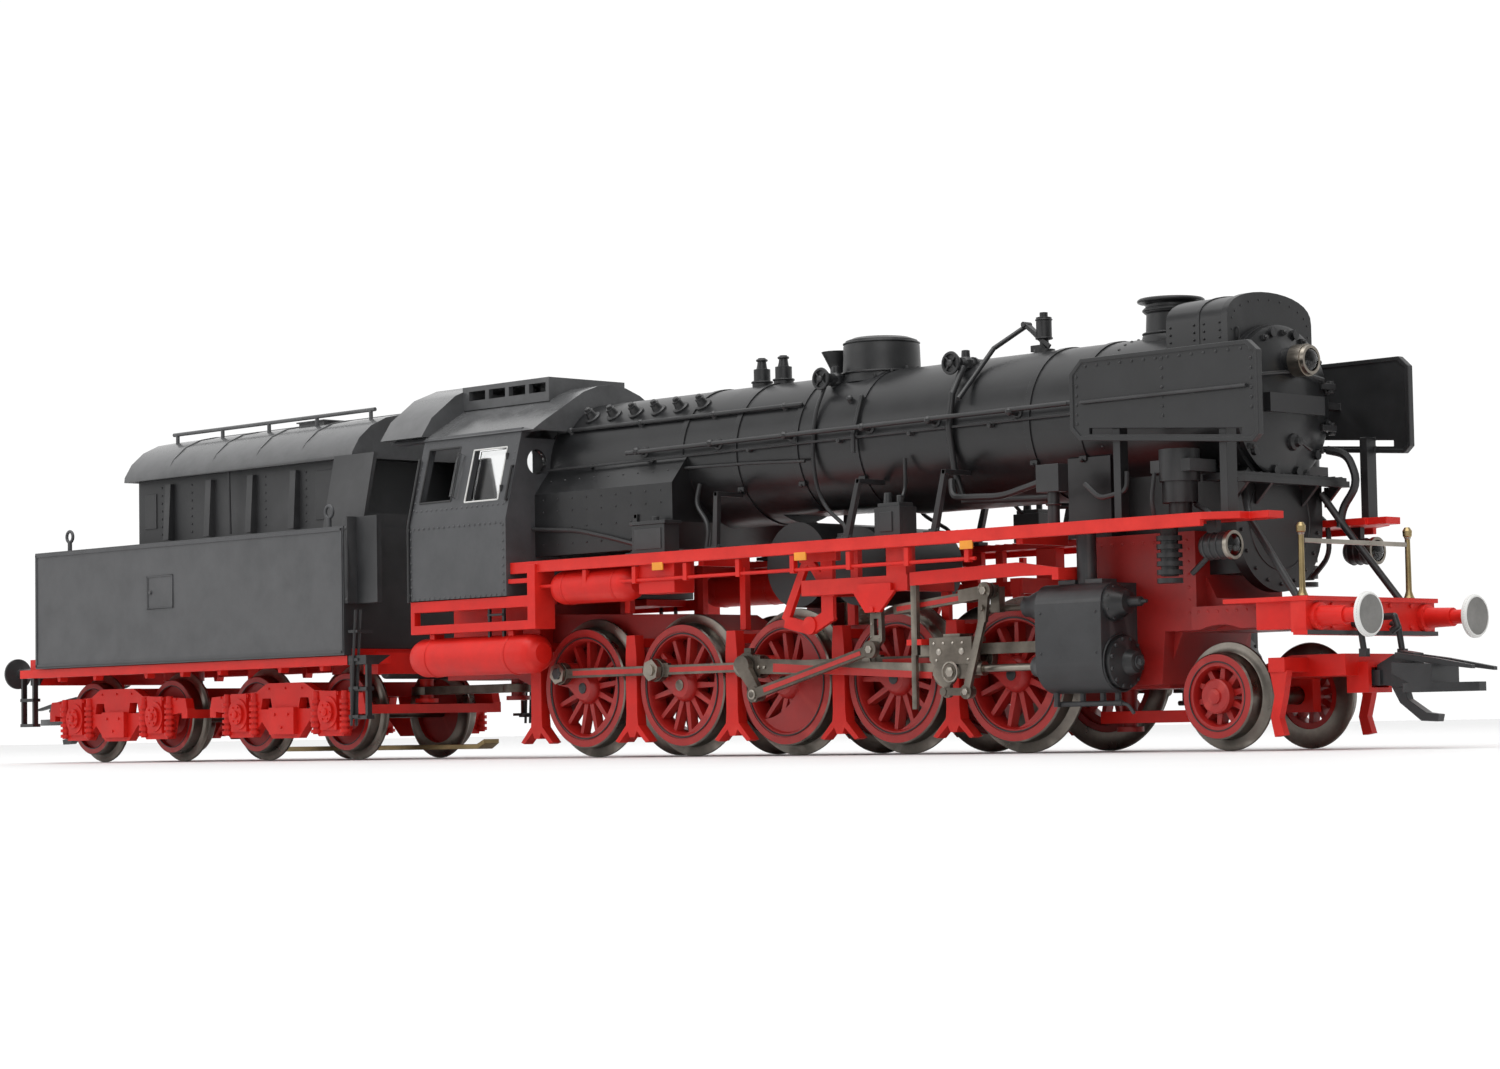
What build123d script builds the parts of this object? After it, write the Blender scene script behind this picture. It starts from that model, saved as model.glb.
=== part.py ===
from build123d import *
import math
import os

os.makedirs("parts", exist_ok=True)

# H0 (1:87) model of a 2-10-0 tank-less steam locomotive with a four-axle
# cabin tender.  Millimetres.  While modelling, x = 0 is the leading axle with
# +X forward, y = 0 the centre plane, z = 0 the top of the rail.  Everything is
# shifted by (X_OFF, 0, Z_OFF) on export, so that the origin is under the middle
# of the train at the level of the wheel flanges' lowest points.

# ---------------- driving dimensions ----------------
X_OFF = 111.8            # half the length over couplers, less the front part
FLANGE = 1.2             # flange depth below the rail head
Z_OFF = FLANGE
BACK = 7.1               # half the back-to-back distance of the wheels
FACE = 9.9               # wheel outer face
R_DRV = 8.05             # driving wheel tread radius
R_PONY = 4.9             # leading wheel tread radius
R_TND = 5.75             # tender wheel tread radius
X_DRV = [-29.9, -48.85, -67.8, -86.8, -105.75]
X_TND = [-157.8, -179.65, -201.5, -223.3]
AXLE_R = 1.5
FIT = 0.06               # radial running clearance
CRANK = 3.79             # crank throw
A_R = math.radians(148)  # right-hand crank angle, from +X towards +Z
A_L = math.radians(58)  # left-hand crank angle
BOILER_R = 9.15
BOILER_Z = 37.8
BOARD_Z = 25.0           # top of the running boards
BOARD_Y = 16.5
CAB_Y = 17.2
MAIN_X = -37.0           # crosshead pin at rest
MAIN_Z = 8.8
X_FRONT, X_REAR = 13.6, -237.2     # coupler pivots
GEAR_M = 0.25            # gear module
T_AXLE, T_IDLER, T_PINION = 30, 40, 8
Z_IDLER = R_DRV + GEAR_M * (T_AXLE + T_IDLER) / 2
Z_MOTOR = Z_IDLER + GEAR_M * (T_IDLER + T_PINION) / 2


# ---------------- helpers ----------------
def box(x0, x1, y0, y1, z0, z1):
    return Pos((x0 + x1) / 2, (y0 + y1) / 2, (z0 + z1) / 2) * Box(abs(x1 - x0), abs(y1 - y0), abs(z1 - z0))


def cy(x, z, r, y0, y1):
    return Pos(x, (y0 + y1) / 2, z) * Rot(90, 0, 0) * Cylinder(r, abs(y1 - y0))


def cx(y, z, r, x0, x1):
    return Pos((x0 + x1) / 2, y, z) * Rot(0, 90, 0) * Cylinder(r, abs(x1 - x0))


def cz(x, y, r, z0, z1):
    return Pos(x, y, (z0 + z1) / 2) * Cylinder(r, abs(z1 - z0))


def prism_y(pts, y0, y1):
    w = Wire.make_polygon([Vector(x, y0, z) for x, z in pts], close=True)
    return Part() + Solid.extrude(Face(w), Vector(0, y1 - y0, 0))


def prism_x(pts, x0, x1):
    w = Wire.make_polygon([Vector(x0, y, z) for y, z in pts], close=True)
    return Part() + Solid.extrude(Face(w), Vector(x1 - x0, 0, 0))


def prism_z(pts, z0, z1):
    w = Wire.make_polygon([Vector(x, y, z0) for x, y in pts], close=True)
    return Part() + Solid.extrude(Face(w), Vector(0, 0, z1 - z0))


def lathe_x(pts, y, z):
    """pts are (x, radius) pairs, turned about the line through (y, z) along X."""
    w = Wire.make_polygon([Vector(x, y, z + r) for x, r in pts], close=True)
    return Part() + Solid.revolve(Face(w), 360, Axis((0, y, z), (1, 0, 0)))


def lathe_y(pts, x, z):
    """pts are (y, radius) pairs, turned about the line through (x, z) along Y."""
    w = Wire.make_polygon([Vector(x, y, z + r) for y, r in pts], close=True)
    return Part() + Solid.revolve(Face(w), 360, Axis((x, 0, z), (0, 1, 0)))


def lathe_z(pts, x, y):
    """pts are (z, radius) pairs, turned about the line through (x, y) along Z."""
    w = Wire.make_polygon([Vector(x + r, y, z) for z, r in pts], close=True)
    return Part() + Solid.revolve(Face(w), 360, Axis((x, y, 0), (0, 0, 1)))


def bar_y(p, q, w, y0, y1, w2=None):
    """A flat bar in the XZ plane from p to q, w wide at p and w2 at q."""
    w2 = w if w2 is None else w2
    dx, dz = q[0] - p[0], q[1] - p[1]
    n = math.hypot(dx, dz)
    ux, uz = -dz / n, dx / n
    return prism_y([(p[0] + ux * w / 2, p[1] + uz * w / 2), (q[0] + ux * w2 / 2, q[1] + uz * w2 / 2),
                    (q[0] - ux * w2 / 2, q[1] - uz * w2 / 2), (p[0] - ux * w / 2, p[1] - uz * w / 2)], y0, y1)


def pipe(pts, r):
    """A pipe of straight runs with ball corners."""
    out = None
    for a, b in zip(pts[:-1], pts[1:]):
        va, vb = Vector(*a), Vector(*b)
        d = vb - va
        s = Part() + Solid.make_cylinder(r, d.length, Plane(origin=va, z_dir=d))
        out = s if out is None else out + s
    for c in pts[1:-1]:
        out = out + Pos(*c) * Sphere(r * 1.02)
    return out


def fuse(*a):
    out = a[0]
    for b in a[1:]:
        out = out + b
    return out


def left(s):
    return mirror(s, about=Plane.XZ)


def both(s):
    return [s, left(s)]


def save(name, *shapes):
    solids = []
    for s in shapes:
        for t in (s if isinstance(s, (list, tuple)) else [s]):
            solids += list(t.solids())
    solids = [t.moved(Location((X_OFF, 0, Z_OFF))) for t in solids]
    export_step(Compound(children=solids) if len(solids) > 1 else solids[0], f"parts/{name}.step")


def cut(shapes, *tools):
    out = []
    for s in shapes:
        for t in tools:
            s = s - t
        out.append(s)
    return out


# ---------------- wheels ----------------
def tyre(x, r, side):
    """Steel tyre with coned tread and flange on the inner edge."""
    p = [(BACK, r - 1.05), (FACE, r - 1.05), (FACE, r - 0.22), (FACE - 0.2, r - 0.06), (BACK + 0.95, r),
         (BACK + 0.72, r + 0.35), (BACK + 0.6, r + FLANGE - 0.08), (BACK + 0.42, r + FLANGE),
         (BACK + 0.2, r + FLANGE - 0.12), (BACK, r + FLANGE - 0.7)]
    return lathe_y([(side * y, q) for y, q in p], x, r)


def spoked(x, r, side, n, rim_in, hub, spoke_w, hub_out, phase=0.0):
    """Spoked centre: hub, tapered spokes and rim, about the axle at (x, r)."""
    ro = r - 1.05
    rim = lathe_y([(side * a, b) for a, b in [(BACK + 0.15, rim_in), (FACE - 0.55, rim_in), (FACE - 0.1, rim_in + 0.25),
                                              (FACE - 0.1, ro), (BACK + 0.15, ro)]], x, r)
    h = lathe_y([(side * a, b) for a, b in [(BACK + 0.05, 0.0), (BACK + 0.05, hub), (FACE - 0.5, hub),
                                            (hub_out - 0.35, hub * 0.88), (hub_out, hub * 0.72), (hub_out, 0.0)]], x, r)
    out = rim + h
    for k in range(n):
        a = 2 * math.pi * k / n + phase
        p = (x + math.cos(a) * (hub - 0.4), r + math.sin(a) * (hub - 0.4))
        q = (x + math.cos(a) * (rim_in + 0.3), r + math.sin(a) * (rim_in + 0.3))
        ys = sorted([side * (BACK + 0.75), side * (FACE - 0.75)])
        out = out + bar_y(p, q, spoke_w * 1.25, ys[0], ys[1], spoke_w * 0.85)
    return out


def gear(x, z, teeth, y0, y1, bore, tooth_at_top):
    """Spur gear with straight-flanked teeth and backlash; a tooth or a gap points up."""
    rp = GEAR_M * teeth / 2
    ra, rf = rp + 0.8 * GEAR_M, rp - 1.2 * GEAR_M
    pitch = 2 * math.pi / teeth
    pts = []
    for k in range(teeth):
        a = math.pi / 2 + (k + (0 if tooth_at_top else 0.5)) * pitch
        for da, rr in [(-0.33, rf), (-0.11, ra), (0.11, ra), (0.33, rf)]:
            pts.append((x + rr * math.cos(a + da * pitch), z + rr * math.sin(a + da * pitch)))
    g = prism_y(pts, y0, y1)
    if bore > 0:
        g = g - cy(x, z, bore, y0 - 1, y1 + 1)
    return g


for n, xd in enumerate(X_DRV, 1):
    centres = []
    for side, ang in ((-1, A_R), (1, A_L)):
        w = spoked(xd, R_DRV, side, 13 if n != 3 else 14, R_DRV - 1.85, 2.15, 0.62, FACE + 0.35, 0.12 * n)
        cxp, czp = xd + CRANK * math.cos(ang), R_DRV + CRANK * math.sin(ang)
        ys = sorted([side * (BACK + 0.6), side * (FACE + 0.45)])
        w = w + cy(cxp, czp, 1.45, ys[0], ys[1])                                   # crank boss
        w = w + bar_y((xd, R_DRV), (cxp, czp), 3.4, ys[0] if side > 0 else ys[0] + 0.1, ys[1], 2.5)
        # balance weight opposite the crank: a crescent, large on the driven axle
        big = n == 3
        seg = cy(xd, R_DRV, R_DRV - 1.5, *sorted([side * (BACK + 0.6), side * (FACE - 0.45)]))
        d = 1.3 if big else 4.7
        ux, uz = -math.cos(ang), -math.sin(ang)
        if big:
            cutc = cy(xd - ux * 5.6, R_DRV - uz * 5.6, 7.6, -12, 12)
        else:
            cutc = cy(xd - ux * 3.3, R_DRV - uz * 3.3, 8.55, -12, 12)
        w = w + (seg - cutc)
        w = w - cy(xd, R_DRV, AXLE_R, *sorted([side * (BACK - 1), side * (BACK + 1.0)]))
        if n == 3:
            # pocket for the hidden guide plug, half-way to the crank pin
            gx, gz = xd + CRANK / 2 * math.cos(ang), R_DRV + CRANK / 2 * math.sin(ang)
            w = w - cy(gx, gz, 0.85 + FIT, *sorted([side * (BACK + 1.5), side * 12]))
        # crank pin, shouldered, with its nut
        tip = {1: 11.65, 2: 11.65, 3: 13.72, 4: 12.75, 5: 12.1}[n]
        w = w + cy(cxp, czp, 0.75, *sorted([side * (FACE + 0.3), side * tip]))
        if n >= 4:
            hexa = [(cxp + 1.45 * math.cos(math.pi / 3 * k + 0.3), czp + 1.45 * math.sin(math.pi / 3 * k + 0.3)) for k in range(6)]
            w = w + prism_y(hexa, *sorted([side * 11.62, side * (12.5 if n == 4 else 12.05)]))
        centres.append(w)
    ty = [tyre(xd, R_DRV, -1), tyre(xd, R_DRV, 1)]
    axle = cy(xd, R_DRV, AXLE_R, -(BACK + 1.0), BACK + 1.0)
    extra = []
    if n == 3:
        axle = axle + gear(xd, R_DRV, T_AXLE, -1.1, 1.1, 0, True)
        # return cranks on the ends of the main pins
        for side, ang in ((-1, A_R), (1, A_L)):
            pc = (xd + CRANK * math.cos(ang), R_DRV + CRANK * math.sin(ang))
            rot = ang - A_R
            e0 = (-0.4, -1.55)
            pe = (xd + e0[0] * math.cos(rot) - e0[1] * math.sin(rot), R_DRV + e0[0] * math.sin(rot) + e0[1] * math.cos(rot))
            ys = sorted([side * 13.72, side * 14.5])
            rc = bar_y(pc, pe, 1.9, ys[0], ys[1], 1.3) + cy(pc[0], pc[1], 1.35, *ys) + cy(pe[0], pe[1], 0.85, *ys)
            rc = rc + cy(pe[0], pe[1], 0.4, *sorted([side * 14.4, side * 15.6]))
            extra.append(rc)
    save(f"driver_{n}_centres", centres)
    save(f"driver_{n}_tyres_axle", ty, axle, *extra)

# guide plugs in the driven wheels
for tag, side, ang in (("r", -1, A_R), ("l", 1, A_L)):
    gx, gz = -67.8 + CRANK / 2 * math.cos(ang), R_DRV + CRANK / 2 * math.sin(ang)
    save(f"guide_plug_{tag}", cy(gx, gz, 0.85, *sorted([side * (BACK + 1.6), side * (FACE + 0.3)])))


def turned_wheelset(x, r, n, axle_r, axle_y, hub_out, spokes=True):
    out = []
    for side in (-1, 1):
        if spokes:
            w = tyre(x, r, side) + spoked(x, r, side, n, r - 1.75, 1.65, 0.62, hub_out, 0.2)
        else:
            disc = lathe_y([(side * a, b) for a, b in [(BACK + 0.7, 0.0), (BACK + 0.7, r - 0.9), (FACE - 0.6, r - 0.9),
                                                       (FACE - 0.9, 2.6), (FACE - 0.3, 1.9), (FACE - 0.3, 0.0)]], x, r)
            w = tyre(x, r, side) + disc
        out.append(w)
    return fuse(out[0], out[1], cy(x, r, axle_r, -axle_y, axle_y))


save("pony_wheelset", turned_wheelset(0, R_PONY, 10, 1.0, 8.0, FACE + 0.15))
for n, xt in enumerate(X_TND, 1):
    save(f"tender_wheelset_{n}", turned_wheelset(xt, R_TND, 0, 0.95, 12.1, FACE, spokes=False))

# ---------------- coupling rods, connecting rods, valve gear ----------------
for tag, side, ang in (("r", -1, A_R), ("l", 1, A_L)):
    pins = [(x + CRANK * math.cos(ang), R_DRV + CRANK * math.sin(ang)) for x in X_DRV]

    def span(a, b, s=side):
        return sorted([s * a, s * b])

    # coupling rod: five eyes joined by fluted bars, in one piece
    ya, yb = span(10.7, 11.4)
    rod = None
    for p, q in zip(pins[:-1], pins[1:]):
        b = bar_y(p, q, 1.25, ya, yb)
        rod = b if rod is None else rod + b
    for k, p in enumerate(pins):
        rod = rod + cy(p[0], p[1], 1.5, *span(10.55, 11.55))
        rod = rod + bar_y((p[0] - 2.2, p[1]), (p[0] + 2.2, p[1]), 1.8, ya, yb) if 0 < k < 4 else rod
    for p in pins:
        rod = rod - cy(p[0], p[1], 0.75 + FIT, -20, 20)
    save(f"coupling_rod_{tag}", rod)

    # connecting rod from the driven pin to the crosshead
    p3 = pins[2]
    sx = -67.8 + CRANK * math.cos(ang) + math.sqrt(34.02 ** 2 - (p3[1] - MAIN_Z) ** 2)
    small = (sx, MAIN_Z)
    ya, yb = span(12.7, 13.5)
    mr = bar_y((p3[0] + 1.2, p3[1]), (small[0] - 0.6, small[1]), 1.9, ya, yb, 1.45)
    mr = mr + bar_y((p3[0] - 1.0, p3[1]), (p3[0] + 2.4, p3[1] - 0.05), 3.1, ya, yb, 2.6)
    mr = mr + cy(p3[0], p3[1], 1.75, *span(12.65, 13.55)) + cy(small[0], small[1], 1.1, ya, yb)
    mr = mr + bar_y((p3[0] + 0.1, p3[1] + 1.4), (p3[0] + 0.1, p3[1] + 2.3), 1.2, *span(12.8, 13.4))      # oil cup
    mr = mr - cy(p3[0], p3[1], 0.75 + FIT, -20, 20)
    save(f"connecting_rod_{tag}", mr)

    # eccentric rod from the return crank to the foot of the expansion link
    rot = ang - A_R
    e0 = (-0.4, -1.55)
    pe = (-67.8 + e0[0] * math.cos(rot) - e0[1] * math.sin(rot), R_DRV + e0[0] * math.sin(rot) + e0[1] * math.cos(rot))
    foot = (pe[0] + 20.4, 11.5)
    ya, yb = span(14.75, 15.35)
    er = bar_y(pe, foot, 1.3, ya, yb, 1.15) + cy(pe[0], pe[1], 1.0, ya, yb) + cy(foot[0], foot[1], 1.05, *span(14.75, 15.55))
    er = er - cy(pe[0], pe[1], 0.4 + FIT, -20, 20)
    save(f"eccentric_rod_{tag}", er)

    # crosshead: slipper round the guide bar, outer plate, drop arm, union link, piston rod
    dx = small[0] - MAIN_X
    y1, y2 = span(13.75, 14.3)
    ch = prism_y([(-39.1 + dx, 9.9), (-38.6 + dx, 9.4), (-32.4 + dx, 9.4), (-32.4 + dx, 12.35), (-39.1 + dx, 12.35)], y1, y2)
    ch = ch + cy(MAIN_X + 0.2 + dx, 8.5, 1.75, y1, y2) + bar_y((-36.6 + dx, 7.6), (-36.5 + dx, 6.2), 1.3, y1, y2, 1.2)
    ch = ch + cy(-36.5 + dx, 6.2, 0.75, y1, y2)
    ch = ch + box(-39.1 + dx, -32.4 + dx, *span(11.75, 14.3), 12.0, 12.6)                # top of the slipper
    ch = ch + box(-37.2 + dx, -34.6 + dx, *span(12.1, 13.9), 12.6, 13.0)
    ch = ch + box(-34.9 + dx, -32.6 + dx, *span(12.55, 14.0), 7.7, 12.1)                # front boss
    ch = ch + cx(side * 13.1, MAIN_Z, 0.85, -34.0 + dx, -31.4 + dx) + cx(side * 13.1, MAIN_Z, 0.45, -32.0 + dx, -21.2 + dx)
    ch = ch + cy(-36.5 + dx, 6.2, 0.5, *span(14.2, 14.95)) + bar_y((-36.5 + dx, 6.2), (-32.4 + dx, 6.1), 0.9, *span(14.4, 14.85))
    ch = ch + cy(-32.4 + dx, 6.1, 0.75, *span(14.4, 14.85))
    save(f"crosshead_{tag}", ch)

    # expansion link with its slot and foot
    ya, yb = span(13.9, 14.5)
    lk = prism_y([(-48.5, 16.9), (-46.7, 16.9), (-46.6, 12.5), (-48.0, 11.4), (-49.7, 10.8), (-49.8, 11.8), (-48.6, 12.7)], ya, yb)
    lk = lk - prism_y([(-47.95, 15.2), (-47.2, 15.2), (-47.15, 13.2), (-47.9, 13.2)], -20, 20)
    lk = lk + cy(-49.2, 11.3, 0.75, ya, yb)
    lk = lk - cy(-47.6, 16.3, 0.35 + FIT, -20, 20)
    save(f"expansion_link_{tag}", lk)

    # radius rod, its fork and the valve spindle: slides fore and aft
    ya, yb = span(12.9, 13.5)
    vr = bar_y((-45.6, 16.2), (-33.7, 17.3), 1.15, ya, yb) + bar_y((-34.0, 17.3), (-29.3, 17.8), 1.5, *span(12.7, 14.7))
    vr = vr - bar_y((-31.6, 17.5), (-28.0, 17.9), 2.4, *span(13.3, 14.2)) + cy(-29.3, 17.8, 0.95, *span(14.2, 14.7))
    vr = vr + box(-30.2, -28.8, *span(12.3, 13.3), 15.3, 18.3) + cx(side * 12.1, 15.8, 0.4, -31.2, -20.5)
    vr = vr + cy(-29.3, 17.8, 0.4, *span(12.9, 15.75))
    save(f"radius_rod_{tag}", vr)

    # combination lever
    ya, yb = span(15.0, 15.5)
    cl = bar_y((-29.3, 17.8), (-29.7, 14.2), 1.5, ya, yb, 1.2) + bar_y((-29.7, 14.4), (-32.4 + dx, 6.1), 0.95, ya, yb, 1.0)
    cl = cl + cy(-29.3, 17.8, 1.0, ya, yb) + cy(-32.4 + dx, 6.1, 0.85, ya, yb) + cy(-29.6, 15.8, 0.35, *span(15.0, 15.8))
    cl = cl - cy(-29.3, 17.8, 0.4 + FIT, -20, 20)
    save(f"combination_lever_{tag}", cl)

# ---------------- chassis ----------------
ch = prism_y([(-139.0, 9.8), (-139.0, 14.2), (-121.5, 14.2), (-119.0, 18.4), (-89.0, 17.4), (-84.0, 14.9), (-27.0, 14.9),
              (-25.0, 17.5), (-20.2, 23.6), (-4.0, 23.6), (-4.0, 18.6), (-2.5, 16.0), (12.0, 15.3), (12.0, 12.6), (7.0, 12.3), (-7.5, 12.3),
              (-9.0, 9.0), (-9.5, 6.0), (-24.0, 6.0), (-26.0, 4.7), (-112.5, 4.7), (-119.0, 8.0), (-124.0, 9.8)], -6.2, 6.2)
ch = ch + prism_y([(-20.2, 6.4), (-20.2, 23.6), (-4.0, 23.6), (-4.0, 18.6), (-4.0, 12.4), (-8.6, 12.4), (-9.2, 6.4)], -8.0, 8.0)
ch = ch + box(-4.0, 11.8, -9.0, 9.0, 12.4, 15.0)
ch = ch - cy(0, R_PONY, 8.0, -9.5, -6.4) - cy(0, R_PONY, 8.0, 6.4, 9.5)                # wheel arches over the leading wheels
for xd in X_DRV:
    ch = ch - cy(xd, R_DRV, AXLE_R + FIT, -10, 10)
ch = ch - box(-72.6, -63.0, -1.5, 1.5, 2.0, 30) - box(-74.2, -61.4, -1.5, 1.5, 10.5, 30)       # gear slot
ch = ch - box(-98.0, -90.0, -4.2, 4.2, 6.5, 12.0) - box(-60.0, -54.0, -4.2, 4.2, 6.5, 12.0) - box(-41.0, -36.0, -4.2, 4.2, 6.5, 12.0)
ch = ch + cy(-67.8, Z_IDLER, 0.6, -2.4, 2.4)                                              # idler's spindle
ch = ch + box(-70.2, -65.4, -3.4, -1.5, 14.0, 18.0) + box(-70.2, -65.4, 1.5, 3.4, 14.0, 18.0)
ch = ch + cz(-131.0, 0, 1.0, 7.4, 10.5) + cz(-131.0, 0, 1.7, 6.9, 7.5)                   # drawbar pin and head
ch = ch + cz(-20.5, 0, 0.9, 1.6, 6.5) + cz(-20.5, 0, 1.6, 1.1, 1.7)                       # pony truck pin and head
chassis = ch
save("chassis_frame", chassis)
save("idler_gear", gear(-67.8, Z_IDLER, T_IDLER, -1.1, 1.1, 0.6 + FIT, False))

# ---------------- motor ----------------
mc = cy(-67.8, Z_MOTOR, 5.4, -7.4, 7.4) + cy(-57.6, 22.2, 4.9, -7.0, 7.0) + box(-62, -58, -6, 6, 18.5, 26.5)
mc = mc - cy(-67.8, Z_MOTOR, 4.5, -6.4, -1.6) - cy(-67.8, Z_MOTOR, 4.5, 1.9, 6.4) - box(-74.5, -61.6, -1.5, 1.5, 14, 21.9)
mc = mc - cy(-67.8, Z_MOTOR, 1.6, -2.5, 2.5) - cy(-67.8, Z_MOTOR, 0.6 + FIT, -7.0, 7.0)
mc = mc - box(-70.4, -65.2, -3.6, 3.6, 14, 18.2) - box(-74.5, -61.0, -1.5, 1.5, 14.0, 24.8)
motor = mc
save("motor_case", mc)
rot_ = cy(-67.8, Z_MOTOR, 0.6, -6.9, 6.9) + gear(-67.8, Z_MOTOR, T_PINION, -1.1, 1.1, 0, True)
arm = cy(-67.8, Z_MOTOR, 4.1, -6.0, -2.1) + cy(-67.8, Z_MOTOR, 2.2, 2.3, 5.6)
for k in range(5):
    a = 2 * math.pi * k / 5
    arm = arm - cy(-67.8 + 3.9 * math.cos(a), Z_MOTOR + 3.9 * math.sin(a), 0.75, -6.2, -2.0)
save("motor_rotor", rot_ + arm)

# ---------------- boiler ----------------
boiler_solid = cx(0, BOILER_Z, BOILER_R, -113.0, 2.0)
bs = boiler_solid
firebox = prism_x([(-12.0, 25.9), (12.0, 25.9), (12.0, 34.3), (9.0, 38.0), (-9.0, 38.0), (-12.0, 34.3)], -113.0, -85.8)
firebox = firebox - prism_y([(-90.0, 25.0), (-85.0, 25.0), (-85.0, 30.0)], -20, 20)
saddle = box(-22.4, -16.0, -8.0, 8.0, 23.62, 33.0) + box(-16.0, 0.4, -5.4, 5.4, 23.62, 31.5) + box(-4.0, 0.4, -5.4, 5.4, 18.7, 24)
apron = cx(0, 24.7, 8.1, 0.4, 1.9) + box(0.4, 1.9, -8.1, 8.1, 24.7, 30.0)
for xb in (-87.0, -77.0, -66.0, -55.5, -27.5, -20.0):
    bs = bs + cx(0, BOILER_Z, BOILER_R + 0.16, xb - 0.45, xb + 0.45)
bs = bs + firebox + saddle + apron
# preheater box across the smokebox, with an arched lid
arch = [(-7.7, 40.0), (7.7, 40.0), (7.7, 47.3)]
for k in range(1, 16):
    t = k / 16 * math.pi
    arch.append((7.7 * math.cos(t), 47.3 + 3.2 * math.sin(t) ** 0.8))
arch.append((-7.7, 47.3))
heater = prism_x(arch, -7.6, 1.2) + prism_x([(y * 1.02, z if z < 41 else z + 0.18) for y, z in arch], 0.4, 1.25)
heater = heater + prism_x([(y * 1.01, z if z < 41 else z + 0.12) for y, z in arch], -3.1, -2.8)
bs = bs + heater
bs = bs + box(-1.5, 4.4, -9.5, 9.5, 29.0, 29.7) + box(3.6, 4.6, -9.8, 9.8, 28.6, 29.3)                      # platform under the door
bs = bs - cx(0, BOILER_Z, BOILER_R - 1.3, -111.4, -18.0)
bs = bs - box(-110.0, -92.0, -10.4, 10.4, 25.0, 33.0)
saddle_cut = box(-73.5, -53.0, -7.6, 7.6, 20, 29.6)
bs = bs - saddle_cut
boiler_fill = fuse(boiler_solid, firebox, saddle, apron, heater, box(-1.5, 4.6, -9.8, 9.8, 28.6, 29.7))
save("boiler_shell", bs)

# smokebox door: dished disc with a ring, lamp bracket and a plain plate
door = lathe_x([(2.0, 0.0), (2.0, 8.8), (2.7, 8.8), (2.9, 8.4), (3.0, 7.6), (3.9, 5.2), (4.4, 2.5), (4.5, 0.0)], 0, 38.0)
door = door + box(3.0, 4.85, -5.1, 5.1, 36.6, 38.75)
for k in range(12):
    a = 2 * math.pi * (k + 0.5) / 12
    door = door + cx(8.1 * math.cos(a), 38.0 + 8.1 * math.sin(a), 0.55, 2.2, 3.35)
door = door + cx(0, 42.4, 1.75, 2.9, 4.3) - box(-5, 6, -12, 12, 20, 29.72)
save("smokebox_door", door)

# ---------------- boiler mountings ----------------
def on_boiler(s):
    return s - boiler_fill


chim = lathe_z([(44.5, 0.0), (44.5, 3.9), (47.0, 3.4), (47.5, 3.0), (49.6, 2.9), (49.8, 3.2), (50.3, 3.2), (50.4, 3.0),
                (50.7, 3.0), (51.0, 3.75), (51.4, 3.75), (51.4, 2.6), (47.4, 2.4), (47.4, 0.0)], -12.9, 0)
dome = lathe_z([(45.5, 0.0), (45.5, 5.2), (46.6, 4.95), (50.2, 4.85), (50.9, 4.55), (51.25, 3.6), (51.3, 0.0)], -59.4, 0)
funnel = lathe_z([(45.5, 0.0), (45.5, 1.0), (48.0, 1.1), (50.2, 2.2), (50.2, 1.8), (48.4, 0.5), (48.4, 0.0)], -67.0, 0)
fit = [chim, dome, funnel]
for xs in (-81.0, -77.0):
    fit.append(lathe_z([(45.5, 0.0), (45.5, 1.3), (47.5, 1.3), (47.6, 1.1), (49.2, 1.1), (49.3, 0.7), (50.7, 0.5), (50.7, 0.0)], xs, 0))
fit.append(lathe_z([(45.5, 0.0), (45.5, 1.3), (47.3, 1.3), (47.4, 0.55), (48.6, 0.55), (48.7, 0.95), (51.2, 0.95), (51.3, 0.5), (51.8, 0.5), (51.8, 0.0)], -32.4, 0))
fit.append(bar_y((-32.4, 48.2), (-34.9, 50.4), 0.5, -0.4, 0.4) + pipe([(-35.0, 0, 50.5), (-37.0, -4.0, 47.6), (-37.6, -9.9, 41.2)], 0.3))
for k in range(6):
    xk = -107.5 + k * 4.35
    a = math.radians(48)
    for s in (-1, 1):
        dirv = Vector(0, s * math.cos(a), math.sin(a))
        base = Vector(xk, s * math.cos(a) * (BOILER_R - 0.3), BOILER_Z + math.sin(a) * (BOILER_R - 0.3))
        fit.append(Part() + Solid.make_cone(0.85, 0.55, 1.5, Plane(origin=base, z_dir=dirv)))
for xv in (-62.5, -40.5):
    for s in (-1,):
        fit.append(cy(xv, 45.9, 0.8, s * 2.5, s * 6.6) + cy(xv, 45.9, 0.45, s * 6.0, s * 7.6) + cy(xv, 45.9, 1.15, s * 7.4, s * 7.8))
# feed pump and air pump beside the smokebox, lubricator below
for s in (-1, 1):
    yb = s * 11.2
    pump = cz(-3.4, yb, 2.0, 26.6, 29.2) + cz(-3.4, yb, 1.3, 25.1, 27) + cz(-3.4, yb, 2.3, 29.0, 32.6) + box(-6.2, -0.6, *sorted([s * 8.2, s * 12.9]), 30.0, 31.4)
    pump = pump + box(-5.0, -2.0, *sorted([s * 5.45, s * 9.5]), 30.2, 31.2)
    fit.append(pump)
fit = [on_boiler(f) for f in fit]
save("boiler_mountings", *fit)

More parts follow.
